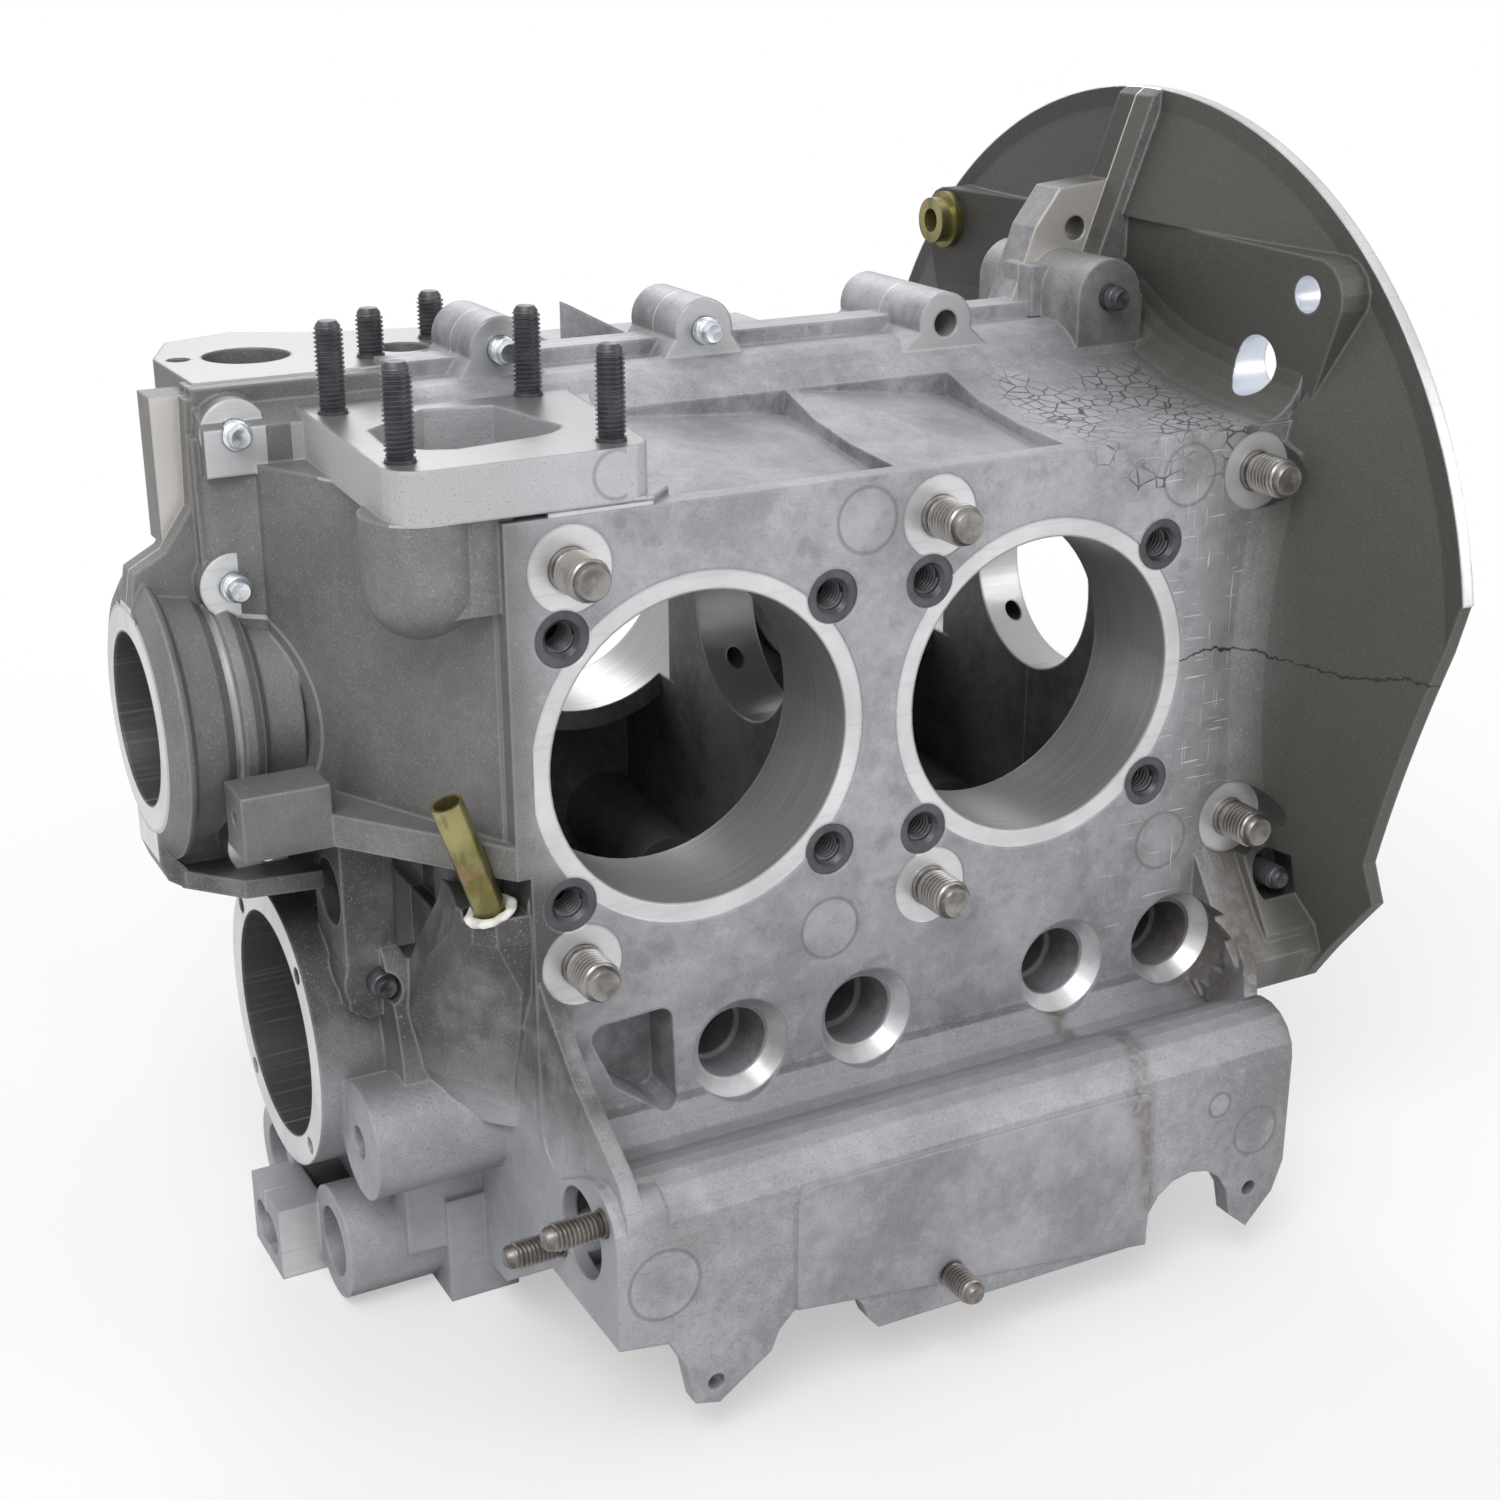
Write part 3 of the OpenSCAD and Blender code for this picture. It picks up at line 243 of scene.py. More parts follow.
# %% Casting material
def cast_alloy(name):
    b = Bench(name)
    across, deep, rise = b.normal()
    nx, ny, nz = abs(across), abs(deep), abs(rise)
    x, y, z = b.x, b.y, b.z
    side = abs(y)
    near = y.under(0.0)
    shift = near * (-2 * BANK * mm) + BANK * mm
    u = abs(x - shift) - HALF_PITCH * mm
    bore = reach(u, z)
    hub = reach(y, z)
    cam = reach(y, z + CAM_DROP * mm)

    fine = b.grain(1500.0, 2.0, 0.6)
    sand = b.grain(260.0, 3.0, 0.6)
    cloud = b.grain(28.0, 4.0, 0.6)
    wide = b.grain(7.0, 2.0, 0.5)

    facing = ny.over(SQUARE)
    below_top = z.under(DECK_TOP * mm)
    deck = facing * ramp(side, DECK - 1, DECK - 0.9) * side.under((DECK + 0.3) * mm)
    deck = deck * below_top * x.over(DECK_FRONT * mm)
    milled = facing * between(side, DECK - 0.8, DECK - 0.15) * below_top * x.over(MILLED_FRONT * mm)
    boss_ends = facing * x.under(BOSS_REAR * mm) * between(side, 12.8, 16.2) * near
    tops = nz.over(SQUARE) * (close_to(z, PAD_TOP, 0.2) * near).most(close_to(z, FAR_PAD_TOP, 0.2))
    seam = side.under(0.25 * mm)
    rim_edge = reach(y, z + HOUSING_DROP * mm).over(HOUSING_RIM * mm) * x.over((FLANGE_X - 5) * mm)
    flange = (nx.over(0.98) * x.over((FLANGE_X - 0.2) * mm)).most(rim_edge)
    fronts = nx.over(0.98) * x.under((NOSE_X + 0.3) * mm).most(close_to(x, PUMP_X, 0.2))
    holes = None
    for hole_side, hole_z, size in HOUSING_HOLES:
        hole = reach(side - hole_side * mm, z - hole_z * mm).under(size * mm)
        holes = hole if holes is None else holes.most(hole)
    holes = holes * x.over(120 * mm) * nx.under(0.5)
    rail_end, boss_end = (close_to(side, end, 0.3) for end in RAIL_ENDS)
    crown = facing * z.over(RAIL * mm) * rail_end.most(boss_end)
    turned = between(bore, REGISTER_R - 0.4, REGISTER_R + 0.4) * side.over(50 * mm)
    saddle = between(hub, MAIN_R - 0.7, MAIN_R + 0.5)
    nose_wall = hub.under((NOSE_BORE_R + 0.4) * mm) * x.under(-113 * mm)
    shaded_bore_walls = nose_wall.most(cam.under((PUMP_BORE_R + 0.3) * mm) * x.under(-140 * mm))
    seats = between(side, DECK - 6.5, DECK - 0.1) * ny.under(0.98) * ny.over(0.35) * close_to(z, TUBE_Z, 17)
    machined = milled.most(boss_ends).most(tops).most(seam).most(flange).most(fronts).most(holes)
    machined = machined.most(turned).most(saddle).most(shaded_bore_walls).most(seats)

    # tones of the die skin: pale blue on the deck and, as painted highlight, on top; painted shade brown
    # black at the back and front
    chest_shade = ramp(x, -118, -130) * ramp(z, -112, -92)
    low = ramp(x, -112, -124) * ramp(z, -92, -112)
    bell_dirt_and_shade = ramp(x, 108, 122) * (1 - facing * side.under(98.5 * mm))
    rear = ramp(x, 78, 122)
    skirt = ramp(side, 112, 128) * z.under(-95 * mm)
    brow = nz.under(0.8) * between(z, PAD_TOP - 14.3, PAD_TOP + 0.5)
    brow = brow * close_to(x, -116, 42) * side.over(8 * mm)
    tone = cloud * 0.5 + wide * 0.3 + sand * 0.2
    skin = b.mix(tone.fade(0.36, 0.64), (0.170, 0.172, 0.180), (0.420, 0.424, 0.445))
    skin = b.mix(deck * 0.40, skin, (0.400, 0.402, 0.432))
    grime = b.grain(75.0, 4.0, 0.65)
    skin = b.mix(grime.fade(0.50, 0.68) * 0.38, skin, (0.135, 0.132, 0.130))
    skin = b.mix(grime.fade(0.44, 0.32) * 0.30, skin, (0.500, 0.505, 0.520))
    # painted shade: the valley under the tube seats is darker and bluer
    valley_shade = side.over((DECK + 0.4) * mm) * ramp(side, 126, 116) * between(z, -120, -97) * x.over(-118 * mm)
    skin = b.mix(valley_shade * 0.50, skin, (0.130, 0.140, 0.170))
    skin = b.mix(skirt * 0.35, skin, (0.285, 0.290, 0.325))
    # painted highlight: faces that point up are paler and bluer, as a reflection of the sky
    skin = b.mix(rise.fade(0.15, 0.95) * 0.40, skin, (0.440, 0.448, 0.485))
    # painted shade: the skin darkens towards the back
    skin = b.mix(rear * 0.72, skin, (0.130, 0.125, 0.112))
    # painted shade: the front chest wall is darker
    skin = b.mix(chest_shade * 0.75, skin, (0.150, 0.146, 0.136))
    # painted highlight: the lower front bosses are paler and bluer
    skin = b.mix(low * 0.55, skin, (0.400, 0.405, 0.440))
    # the bell is darker: partly dirty, darker metal and partly painted shade
    skin = b.mix(bell_dirt_and_shade * 0.90, skin, (0.074, 0.073, 0.065))
    skin = b.mix(brow * 0.75, skin, (0.520, 0.525, 0.545))
    # painted shade on the near half's hump, in cloudy patches
    hump = ramp(x, -108, -116) * ramp(z, -96, -84) * ramp(z, -22, -34) * near
    skin = b.mix(hump * cloud.fade(0.66, 0.40) * 0.85, skin, (0.060, 0.058, 0.055))
    # painted shade: the far half's bell is darker still
    far_bell_shade = bell_dirt_and_shade * (1 - near)
    skin = b.mix(far_bell_shade * 0.7, skin, (0.036, 0.035, 0.032))
    # painted shade: faces that point down are darker and browner
    skin = b.mix(rise.fade(-0.25, -0.85) * 0.50, skin, (0.075, 0.068, 0.058))
    speck = fine.fade(0.58, 0.72) * (1 - machined)
    skin = b.mix(speck * (0.30 - 0.22 * bell_dirt_and_shade), skin, (0.52, 0.52, 0.52))
    pit = fine.fade(0.42, 0.30)
    skin = b.mix(pit * 0.32, skin, (0.05, 0.048, 0.045))

    # edges painted bright as a highlight, found where a rounded normal leaves the flat one
    soft = b.put("Bevel", {"samples": 3}, {"Radius": 1.3 * mm})
    flat = b.put("NewGeometry", {}, {}, out="Normal")
    meet = b.put("VectorMath", {"operation": "DOT_PRODUCT"}, {0: soft, 1: flat}, out="Value")
    edge_glint = (1 - meet).fade(0.01, 0.16)
    skin = b.mix(edge_glint * (0.42 - 0.18 * bell_dirt_and_shade), skin, (0.58, 0.585, 0.60))

    # brown runs of old oil, on the near side low at the back and round the lower studs
    drift = (cloud - 0.5) * (26 * mm)
    run = ramp(line_gap(x + drift, z, (46, -92), (51, -150)), 7, 1)
    corner = ramp(line_gap(x + drift, z + drift, (112, -70), (103, -108)), 12, 2)
    front_run = ramp(line_gap(x + drift, z, (-118, -92), (-103, -118)), 10, 2)
    stain = (run * 0.8).most(corner * 0.8).most(front_run * 0.4) * near
    stain = stain * side.over(70 * mm) * sand.fade(0.25, 0.65)
    skin = b.mix(stain * 0.8, skin, (0.120, 0.085, 0.056))

    # round ejector marks
    rim, disc, flat_face = None, None, facing * near
    for places, depth in ((MARKS, DECK), (SKIRT_MARKS, SKIRT)):
        layer = flat_face * close_to(side, depth, 1.3)
        for mark_x, mark_z, size in places:
            from_middle = reach(x - mark_x * mm, z - mark_z * mm)
            ring = ramp(abs(from_middle - size * mm), 0.9, 0.2) * layer
            plate = from_middle.under((size - 0.5) * mm) * layer * cloud.fade(0.35, 0.6)
            rim = ring if rim is None else rim.most(ring)
            disc = plate if disc is None else disc.most(plate)
    skin = b.mix(disc * 0.30, skin, (0.46, 0.46, 0.475))
    skin = b.mix(rim * (0.25 + cloud * 0.3), skin, (0.095, 0.095, 0.10))

    # the long crack from the rear bore, and crazed skin on the roof
    wander = (sand - 0.5) * (5 * mm)
    gap = None
    for start, end in zip(CRACK, CRACK[1:]):
        piece = line_gap(x, z + wander, start, end)
        gap = piece if gap is None else gap.least(piece)
    crack = ramp(gap, 0.55, 0.12) * near * side.over(60 * mm) * x.over(88 * mm)
    sockets = {"Vector": b.place, "Scale": 190.0}
    cells = b.put("TexVoronoi", {"feature": "DISTANCE_TO_EDGE"}, sockets, out="Distance")
    zone = ramp(x, 44, 62) * ramp(x, 118, 104) * z.over(55 * mm) * near
    zone = zone * cloud.fade(0.40, 0.53) * ramp(side, 25, 45)
    crazed = cells.fade(0.075, 0.02) * zone
    skin = b.mix(crack.most(crazed * 0.8), skin, (0.03, 0.03, 0.03))

    # scratches on the deck, bright and thin, in two directions
    lines = b.streaks((60, 60, 1400), turn=0.6)
    cross = b.streaks((1400, 60, 45), turn=-0.9)
    scratch = lines.fade(0.65, 0.71).most(cross.fade(0.67, 0.72)) * deck * ramp(x, 50, 96)
    skin = b.mix(scratch * 0.85, skin, (0.66, 0.67, 0.68))

    # milled and turned metal
    sweep = b.streaks((30, 900, 900))
    rings = b.streaks((25, 1500, 25), detail=1.0)
    bright = b.mix(cloud.fade(0.3, 0.7), (0.54, 0.545, 0.555), (0.70, 0.705, 0.715))
    bright = b.mix(turned * 0.75, bright, (0.30, 0.30, 0.305))
    bright = b.mix((turned * rings.fade(0.45, 0.62)) * 0.4, bright, (0.55, 0.55, 0.56))
    # painted shade: the walls of the nose and pump bores are dark
    bright = b.mix(shaded_bore_walls * 0.9, bright, (0.085, 0.082, 0.080))
    bright = b.mix(sweep.fade(0.55, 0.7) * 0.25, bright, (0.42, 0.42, 0.43))
    bright = b.mix(seats * cloud.fade(0.55, 0.4) * 0.6, bright, (0.36, 0.355, 0.34))
    bright = b.mix(tops * 0.9, bright, (0.235, 0.238, 0.245))
    bright = b.mix(saddle * 0.6, bright, (0.40, 0.38, 0.36))
    bright = b.mix(seam * 0.8, bright, (0.62, 0.585, 0.545))
    bright = b.mix(crown * 0.6, bright, (0.36, 0.36, 0.37))
    bright = b.mix(holes * 0.7, bright, (0.66, 0.71, 0.80))
    machined = machined.most(crown)
    colour = b.mix(machined, skin, bright)

    rough = (0.56 + (cloud - 0.5) * 0.2) * (1 - machined) + machined * (0.36 + (sweep - 0.5) * 0.15)
    metal = 0.42 + machined * 0.18
    height = (fine + sand) * 0.6
    strength = (1 - machined * 0.9) * (1 - deck * 0.45) * 0.55
    return b.finish(colour, rough, metal, height, strength, 0.45 * mm, soft)


casting = cast_alloy("cast_alloy")
print("casting nodes:", len(casting.node_tree.nodes))

# %% [markdown]
# Small steel parts need six finishes: bare, oiled and dark steel, black oxide, bright zinc and yellow zinc.
# All are mottled metals, and all but the yellow one get painted shade at a root and a painted highlight on
# a crest, so threads read even where small.

# %% Steel finishes
def steel(name, dark, light, rough, metal, oil=0.25):
    b = Bench(name)
    patch = b.grain(160.0, 3.0)
    speck = b.grain(1400.0, 2.0)
    colour = b.mix(patch.fade(0.35, 0.65), dark, light)
    colour = b.mix(speck.fade(0.60, 0.74) * oil, colour, tuple(v * 0.35 for v in dark))
    # painted shade at a thread's root and a painted highlight on its crest, found from pointiness
    crest_glint_root_shade = b.put("NewGeometry", {}, {}, out="Pointiness")
    colour = b.mix(crest_glint_root_shade.fade(0.50, 0.44) * 0.85, colour, tuple(v * 0.18 for v in dark))
    colour = b.mix(crest_glint_root_shade.fade(0.53, 0.60) * 0.5, colour, tuple(min(1.0, v * 1.35) for v in light))
    return b.finish(colour, rough + (patch - 0.5) * 0.25, metal, speck, 0.15, 0.1 * mm)


bare_steel = steel("bare_steel", (0.20, 0.195, 0.19), (0.40, 0.395, 0.39), 0.34, 0.85)
main_steel = steel("main_steel", (0.145, 0.132, 0.122), (0.30, 0.285, 0.272), 0.36, 0.85)
dark_steel = steel("dark_steel", (0.10, 0.088, 0.078), (0.23, 0.21, 0.195), 0.38, 0.8)
black_oxide = steel("black_oxide", (0.035, 0.036, 0.040), (0.085, 0.088, 0.095), 0.45, 0.5)
bright_zinc = steel("bright_zinc", (0.44, 0.47, 0.50), (0.66, 0.70, 0.74), 0.27, 0.85)


def rainbow_zinc(name):
    b = Bench(name)
    drift = b.grain(55.0, 3.0)
    streak = b.streaks((500, 500, 40))
    colour = b.mix(drift.fade(0.35, 0.65), (0.15, 0.135, 0.045), (0.34, 0.31, 0.14))
    colour = b.mix(streak.fade(0.5, 0.68) * 0.5, colour, (0.10, 0.115, 0.06))
    colour = b.mix(b.grain(90.0).fade(0.60, 0.70) * 0.35, colour, (0.42, 0.22, 0.16))
    return b.finish(colour, 0.30 + (drift - 0.5) * 0.2, 0.8, streak, 0.1, 0.1 * mm)


yellow_zinc = rainbow_zinc("yellow_zinc")


def bead_paste(name):
    b = Bench(name)
    lump = b.grain(260.0, 4.0)
    colour = b.mix(lump.fade(0.35, 0.65), (0.55, 0.54, 0.50), (0.82, 0.81, 0.78))
    return b.finish(colour, 0.6, 0.0, lump, 0.5, 0.4 * mm)


paste = bead_paste("sealing_paste")

FINISH = {
    "right_half": casting, "left_half": casting, "main_studs": main_steel, "right_port_studs": bare_steel,
    "left_port_studs": bare_steel, "skirt_studs": bare_steel, "strainer_studs": bare_steel,
    "oil_pickup_tube": bare_steel, "right_head_inserts": black_oxide, "left_head_inserts": black_oxide,
    "pedestal_studs": black_oxide, "fuel_pump_studs": black_oxide, "oil_pump_case_stud": black_oxide,
    "rear_case_stud": black_oxide, "lower_case_stud": black_oxide, "top_case_studs": bright_zinc,
    "front_case_studs": bright_zinc, "mount_nut": yellow_zinc, "dipstick_tube": yellow_zinc,
    "tube_sealant": paste}
for node, metal in FINISH.items():
    nodes[node].data.materials.clear()
    nodes[node].data.materials.append(metal)
print("finishes given:", len(FINISH))

# %% [markdown]
# A stud is a rod with rolled threads. The thread is one tooth section swept round the rod by a Screw
# modifier, which is how a lathe makes it too. The rod under it is a cylinder whose end is inset and
# pushed out to the smaller root size, and closed with a bevelled tip.

# %% Thread tools
# edges sharper than this stay sharp, and the foot of a thread's tooth lies this deep inside the rod
SHARP_CORNER = math.radians(40)
SUNK = 0.3 * mm


def nothing_selected():
    if bpy.context.mode != "OBJECT":
        bpy.ops.object.mode_set(mode="OBJECT")
    bpy.ops.object.select_all(action="DESELECT")


def pick_faces(piece, test):
    """Selects, in edit mode, the faces whose normal passes a test"""
    nothing_selected()
    piece.select_set(True)
    bpy.context.view_layer.objects.active = piece
    for element in (piece.data.vertices, piece.data.edges, piece.data.polygons):
        for part in element:
            part.select = False
    for face in piece.data.polygons:
        face.select = test(face.normal)
    bpy.ops.object.mode_set(mode="EDIT")
    bpy.ops.mesh.select_mode(type="FACE")


def push(distance, shrink=1.0):
    """Extrudes the selected end face along Z, then scales it"""
    bpy.ops.mesh.extrude_region_move(TRANSFORM_OT_translate={"value": (0, 0, distance)})
    if shrink != 1.0:
        bpy.ops.transform.resize(value=(shrink, shrink, 1), center_override=(0, 0, 0))


def rod(name, radius, root, shank, threaded, tip):
    """Plain shank of one radius from z = 0, then the core of the thread and its bevelled tip"""
    nothing_selected()
    bpy.ops.mesh.primitive_cylinder_add(vertices=28, radius=radius, depth=shank, location=(0, 0, shank / 2))
    piece = bpy.context.object
    piece.name = name
    bpy.ops.object.transform_apply(location=True, rotation=True, scale=True)
    pick_faces(piece, lambda normal: normal.z > 0.9)
    step = 0.2 * mm
    push(step, (root + 0.1 * mm) / radius)
    push(threaded - tip - step)
    push(tip, (root - 0.7 * tip) / root)
    bpy.ops.mesh.inset(thickness=root * 0.45)
    bpy.ops.transform.translate(value=(0, 0, -0.25 * mm))
    bpy.ops.object.mode_set(mode="OBJECT")
    return piece


def coil(radius, root, pitch, start, length, inward=False):
    """The tooth of a thread, swept up the rod and faded at both ends"""
    turns = max(1, int(length / pitch - 0.6))
    nothing_selected()
    bpy.ops.mesh.primitive_plane_add(size=1)
    tooth = bpy.context.object
    deep = root + SUNK if inward else root - SUNK
    # corners of the tooth as (radius, height in pitches): a wide foot and a narrow crest
    section = [(deep, -0.47), (radius, -0.09), (deep, 0.47), (radius, 0.09)]
    for corner, (r, z) in zip(tooth.data.vertices, section):
        corner.co = (r, 0, start + (z + 0.5) * pitch)
    screw = tooth.modifiers.new("sweep", "SCREW")
    screw.axis, screw.angle, screw.screw_offset = "Z", 2 * math.pi, pitch
    screw.iterations, screw.steps, screw.render_steps = turns, 20, 20
    bpy.ops.object.modifier_apply(modifier="sweep")
    nothing_selected()
    tooth.select_set(True)
    bpy.context.view_layer.objects.active = tooth
    bpy.ops.object.mode_set(mode="EDIT")
    bpy.ops.mesh.select_mode(type="EDGE")
    bpy.ops.mesh.select_all(action="SELECT")
    bpy.ops.mesh.remove_doubles(threshold=1e-7)
    bpy.ops.mesh.select_all(action="DESELECT")
    bpy.ops.mesh.select_non_manifold()
    bpy.ops.mesh.fill_holes(sides=4)
    bpy.ops.mesh.select_all(action="SELECT")
    bpy.ops.mesh.normals_make_consistent(inside=False)
    bpy.ops.object.mode_set(mode="OBJECT")
    high, run_out = start + (turns + 1) * pitch, 1.6 * pitch
    for corner in tooth.data.vertices:
        r = math.hypot(corner.co.x, corner.co.y)
        fade = min(1, (corner.co.z - start) / run_out, (high - corner.co.z) / run_out)
        wanted = r if inward else min(r, deep + (r - deep) * max(0.0, fade) + 0.1 * mm)
        corner.co.x, corner.co.y = corner.co.x * wanted / r, corner.co.y * wanted / r
    return tooth


def joined(pieces, name):
    nothing_selected()
    for piece in pieces:
        piece.select_set(True)
    bpy.context.view_layer.objects.active = pieces[0]
    if len(pieces) > 1:
        bpy.ops.object.join()
    whole = bpy.context.object
    whole.name = whole.data.name = name
    return whole


def stud(name, size, pitch, shank, threaded, tip, neck=0.0):
    radius, root = size / 2, size / 2 - 0.61 * pitch
    core = rod(name, radius - neck, root, shank, threaded, tip)
    thread = coil(radius, root, pitch, shank - 0.3 * pitch, threaded - 0.6 * tip)
    return joined([core, thread], name)


def copies_at(model, places, name):
    """Copies of a model as one piece, each turned from +Z to its own axis and moved to its root"""
    copies = []
    for root, axis in places:
        copy = bpy.data.objects.new(name, model.data.copy())
        bpy.context.scene.collection.objects.link(copy)
        turned = Vector((0, 0, 1)).rotation_difference(Vector(axis)).to_matrix().to_4x4()
        copy.data.transform(Matrix.Translation(Vector(root) * mm) @ turned)
        copies.append(copy)
    bpy.data.objects.remove(model)
    return joined(copies, name)


def dress(piece, material):
    """Smooth skin with sharp corners, one finish, and the body that carries the piece"""
    nothing_selected()
    piece.select_set(True)
    bpy.context.view_layer.objects.active = piece
    bpy.ops.object.shade_smooth_by_angle(angle=SHARP_CORNER)
    piece.data.materials.clear()
    piece.data.materials.append(material)
    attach(piece, "root")
    print(piece.name, "faces", len(piece.data.polygons))


# %% [markdown]
# The same model serves every stud of one size and length, as one part number serves many holes.
# The roots and directions repeat those of the solids, so each stud sits in its own hole.

# %% Studs
up, under, front, out, away = (0, 0, 1), (0, 0, -1), (-1, 0, 0), (0, -1, 0), (0, 1, 0)


def pedestal_places():
    """The four corners of the pad's pattern, which is turned a little about Z"""
    c, s = math.cos(math.radians(3.2)), math.sin(math.radians(3.2))
    for i in (-1, 1):
        for j in (-1, 1):
            yield (-121.9 + i * 28 * c - j * 31.5 * s, -(56.2 + i * 28 * s + j * 31.5 * c), 66), up


# node, size, pitch, length of the shank, length of the thread, bevel of the tip, finish, roots with axes
STUDS = [
    ("main_studs", 12, 1.5, 159, 14, 1.2, main_steel,
     [((x, 60, z), out) for x in (-112, 0, 112) for z in (56, -56)]),
    ("pedestal_studs", 8, 1.25, 21, 24, 1.2, black_oxide, list(pedestal_places())),
    ("fuel_pump_studs", 8, 1.25, 16, 13, 1.2, black_oxide, [((-124, 14, 78), up), ((-98, 34, 78), up)]),
    ("top_case_studs", 8, 1.25, 28, 6, 1.0, bright_zinc,
     [((-95.5, 12, 97.2), out), ((-31, 12, 97.2), out)]),
    ("oil_pump_case_stud", 8, 1.25, 20.2, 6, 1.0, black_oxide, [((-152.5, -25.8, -74.3), out)]),
    ("rear_case_stud", 8, 1.25, 41, 6, 1.0, black_oxide, [((107, 12, 98), out)]),
    ("lower_case_stud", 8, 1.25, 25, 13, 1.2, black_oxide, [((123.7, -74, -75.2), out)]),
    ("right_port_studs", 8, 1.25, 14, 16, 1.2, dark_steel,
     [((-113, -138.5, -111), front), ((-113, -109.5, -133.5), front)]),
    ("left_port_studs", 8, 1.25, 14, 16, 1.2, dark_steel,
     [((-113, 138.5, -111), front), ((-113, 109.5, -133.5), front)]),
    ("skirt_studs", 8, 1.25, 7, 13, 1.2, dark_steel,
     [((-21.2, -141, -154), out), ((-21.2, 141, -154), away)]),
    ("strainer_studs", 6, 1.0, 13.4, 6.6, 1.0, bare_steel,
     [((-15 + 48 * math.cos(math.radians(a)), 48 * math.sin(math.radians(a)), -164.6), under)
      for a in range(30, 390, 60)]),
]
for node, size, pitch, shank, threaded, tip, material, places in STUDS:
    neck = 0.5 * mm if node == "strainer_studs" else 0.0
    model = stud(node + "_model", size * mm, pitch * mm, shank * mm, threaded * mm, tip * mm, neck)
    threaded_studs = copies_at(model, places, "threaded_" + node)
    dress(threaded_studs, material)
    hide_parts(node)

# %% Front case studs, whose bosses differ in height
front_pieces = []
for x, z, height in ((-173, 81, 13), (-176.5, 38.5, 13), (-176, -38, 16)):
    model = stud("front_stud", 8 * mm, 1.25 * mm, (13 + height) * mm, 6 * mm, 1.0 * mm)
    front_pieces.append(copies_at(model, [((x, 12, z), out)], "front_stud"))
front_studs = joined(front_pieces, "threaded_front_case_studs")
dress(front_studs, bright_zinc)
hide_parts("front_case_studs")

# %% [markdown]
# The black sleeves round the bores take the cylinder head studs, so they are threaded inside. The same
# sweep makes that thread, with its teeth pointing to the middle.

# %% Threads inside the head sleeves
SLEEVE_X, SLEEVE_Z, SLEEVE_MOUTH = 40.35, 37.56, 96.2
inner_thread = coil(3.7 * mm, 4.2 * mm, 1.5 * mm, 0.4 * mm, 12 * mm, inward=True)
signs = (-1, 1)
mouths = [((bank * BANK + row * HALF_PITCH + across * SLEEVE_X, bank * SLEEVE_MOUTH, height * SLEEVE_Z),
           (0, -bank, 0)) for bank in signs for row in signs for across in signs for height in signs]
sleeve_threads = copies_at(inner_thread, mouths, "sleeve_threads")
dress(sleeve_threads, black_oxide)

# %% [markdown]
# Sand cores leave soft webs where walls meet. Four of them are added here as short bars sunk into the metal
# on both sides:
# one under the pad, one behind the nose flange and two beside the hump, these three with rounded edges.

# %% Webs between the walls
def web(name, outline, low, high, round_edge):
    """A bar with the given (x, y) outline in millimetres from one height to another"""
    nothing_selected()
    bpy.ops.mesh.primitive_circle_add(vertices=len(outline), radius=1, fill_type="NGON")
    piece = bpy.context.object
    for corner, (px, py) in zip(piece.data.vertices, outline):
        corner.co = (px * mm, py * mm, low * mm)
    bpy.ops.object.mode_set(mode="EDIT")
    bpy.ops.mesh.select_all(action="SELECT")
    bpy.ops.mesh.extrude_region_move(TRANSFORM_OT_translate={"value": (0, 0, (high - low) * mm)})
    bpy.ops.mesh.select_all(action="SELECT")
    bpy.ops.mesh.normals_make_consistent(inside=False)
    bpy.ops.object.mode_set(mode="OBJECT")
    if round_edge:
        soften = piece.modifiers.new("soften", "BEVEL")
        soften.width, soften.segments = round_edge * mm, 4
        bpy.ops.object.modifier_apply(modifier="soften")
    piece.name = piece.data.name = name
    dress(piece, casting)


web("pad_web", [(-117.5, -60), (-117.5, -97.6), (-88, -97.6), (-80, -90), (-80, -60)], 69, 72.5, 0)
web("nose_web", [(-184, -1), (-184, -8), (-181, -12), (-175, -13), (-168, -15), (-160, -24), (-150, -32),
                 (-150, -1)], 22, 71, 2.0)
web("hump_web", [(-134, -42), (-136, -60), (-132, -78), (-117, -80), (-117, -42)], -64, -27, 2.5)
web("rib_web", [(-128, -84), (-126, -95), (-117, -96.5), (-117, -84)], -100, -44, 2.0)

# %% [markdown]
# The bead at the foot of the dipstick tube was squeezed out by hand. A torus gives its ring, and noise
# moves its skin so that no two sides are alike.

# %% Sealing bead
nothing_selected()
bpy.ops.mesh.primitive_torus_add(major_segments=48, minor_segments=14, major_radius=5.9 * mm,
                                 minor_radius=1.45 * mm)
bead = bpy.context.object
bead.name = bead.data.name = "squeezed_bead"
for corner in bead.data.vertices:
    push_out = noise.noise(corner.co * 420) * 0.8 * mm
    corner.co += Vector((corner.co.x, corner.co.y, 0)).normalized() * push_out
    corner.co.z = corner.co.z * 0.8 + 0.9 * mm + noise.noise(corner.co * 260) * 0.4 * mm
tube_lean = Matrix.Rotation(math.radians(-18.2), 4, "Y")
bead.data.transform(Matrix.Translation(Vector((-134.6, -90, -39)) * mm) @ tube_lean)
bpy.ops.object.shade_smooth()
bead.data.materials.append(paste)
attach(bead, "root")
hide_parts("tube_sealant")
print("bead faces:", len(bead.data.polygons))

# %% [markdown]
# The case stands on a pale floor under soft studio light. Lamps and sky are kept at a plain level, so a
# colour renders about as it is written, and the white backdrop comes from the sky's camera rays alone.

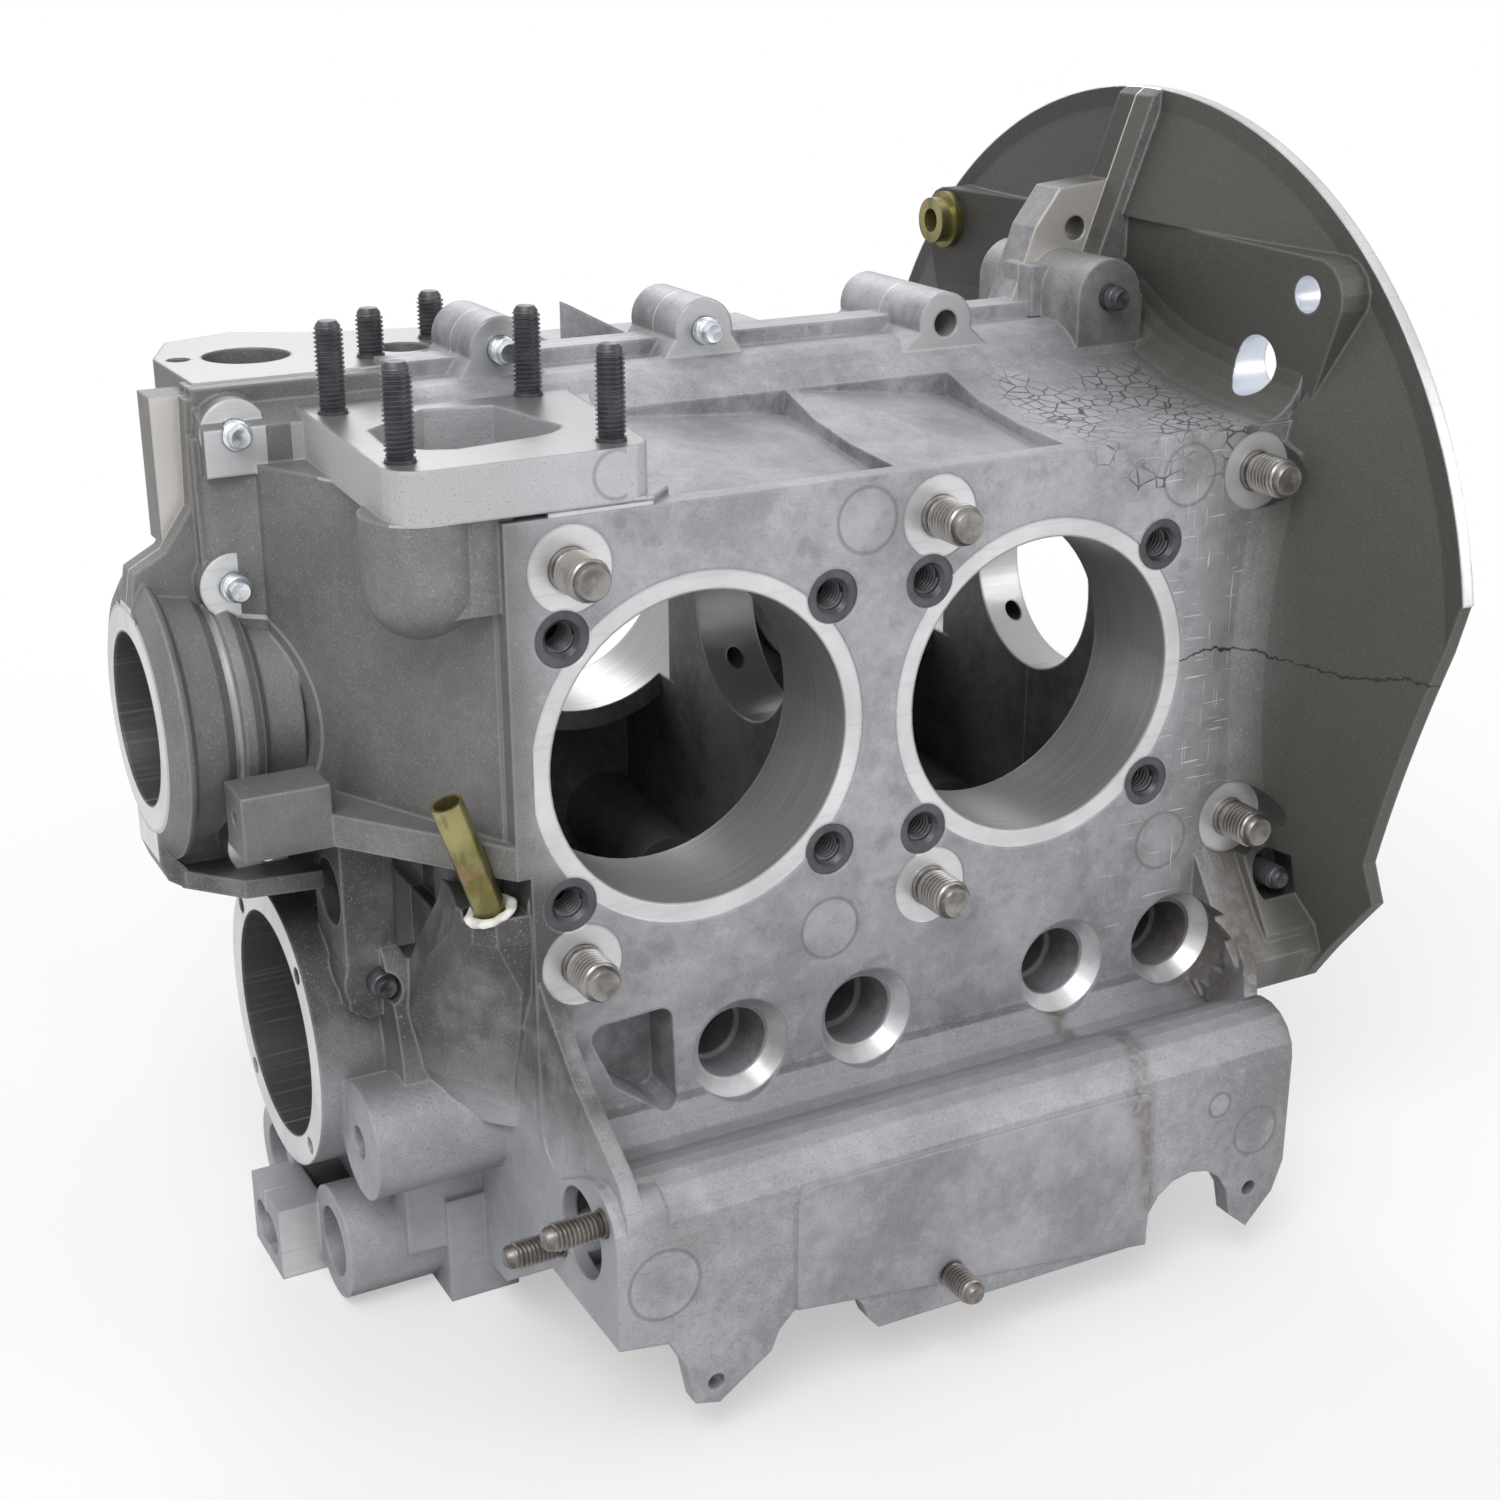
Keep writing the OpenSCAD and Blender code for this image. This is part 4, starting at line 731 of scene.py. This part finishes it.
# %% Floor, sky and lamps
FLOOR_SIZE, FLOOR_Z = 60, -185.1 * mm
bpy.ops.mesh.primitive_grid_add(x_subdivisions=2, y_subdivisions=2, size=FLOOR_SIZE,
                                location=(0, 0, FLOOR_Z))
floor = bpy.context.object
floor.name = "floor"
ground = Bench("floor_paint")
tone = ground.grain(3.0)
ground.finish(ground.mix(tone.fade(0.3, 0.7), (0.84, 0.84, 0.84), (0.87, 0.87, 0.87)), 0.8, 0.0)
floor.data.materials.append(ground.material)

# far from the case the floor shows white to the camera, so that no horizon stands behind it
seen = ground.put("LightPath", {}, {}, out="Is Camera Ray")
far = seen * (0.45 + 0.55 * reach(ground.x, ground.y).fade(0.30, 0.80))
paper = ground.put("Emission", {}, {"Color": (1, 1, 1, 1), "Strength": 1.0})
painted = next(node for node in ground.tree.nodes if node.type == "BSDF_PRINCIPLED")
shown = ground.put("MixShader", {}, {0: far, 1: Wire(ground, painted.outputs[0]), 2: paper})
surface = next(node for node in ground.tree.nodes if node.type == "OUTPUT_MATERIAL")
ground.tree.links.new(shown.socket, surface.inputs[0])

world = bpy.data.worlds.new("studio")
bpy.context.scene.world = world
world.use_nodes = True
tree = world.node_tree
tree.nodes.clear()
path = tree.nodes.new("ShaderNodeLightPath")
sky = tree.nodes.new("ShaderNodeBackground")
sky.inputs[0].default_value = (1, 1, 1, 1)
sky.inputs[1].default_value = 0.62
clear = tree.nodes.new("ShaderNodeBackground")
clear.inputs[0].default_value = (1, 1, 1, 1)
choice = tree.nodes.new("ShaderNodeMixShader")
screen = tree.nodes.new("ShaderNodeOutputWorld")
either = tree.nodes.new("ShaderNodeMath")
either.operation = "MAXIMUM"
mirrored = tree.nodes.new("ShaderNodeMath")
mirrored.operation = "MAXIMUM"
tree.links.new(path.outputs["Is Glossy Ray"], mirrored.inputs[0])
tree.links.new(path.outputs["Is Transmission Ray"], mirrored.inputs[1])
tree.links.new(path.outputs["Is Camera Ray"], either.inputs[0])
tree.links.new(mirrored.outputs[0], either.inputs[1])
tree.links.new(either.outputs[0], choice.inputs[0])
tree.links.new(sky.outputs[0], choice.inputs[1])
tree.links.new(clear.outputs[0], choice.inputs[2])
tree.links.new(choice.outputs[0], screen.inputs[0])


def lamp(name, place, aim, size, power):
    data = bpy.data.lights.new(name, "AREA")
    data.shape, data.size, data.energy = "DISK", size, power
    made = bpy.data.objects.new(name, data)
    bpy.context.scene.collection.objects.link(made)
    made.location = place
    made.rotation_euler = (Vector(aim) - Vector(place)).to_track_quat("-Z", "Y").to_euler()
    return made


lamp("window", (-0.9, -1.1, 1.5), (0, -0.05, 0), 1.2, 22)
lamp("side", (1.4, -1.5, 0.7), (0.05, 0, 0), 1.0, 9)
lamp("behind", (0.3, 1.6, 1.2), (0, 0, 0), 1.0, 12)
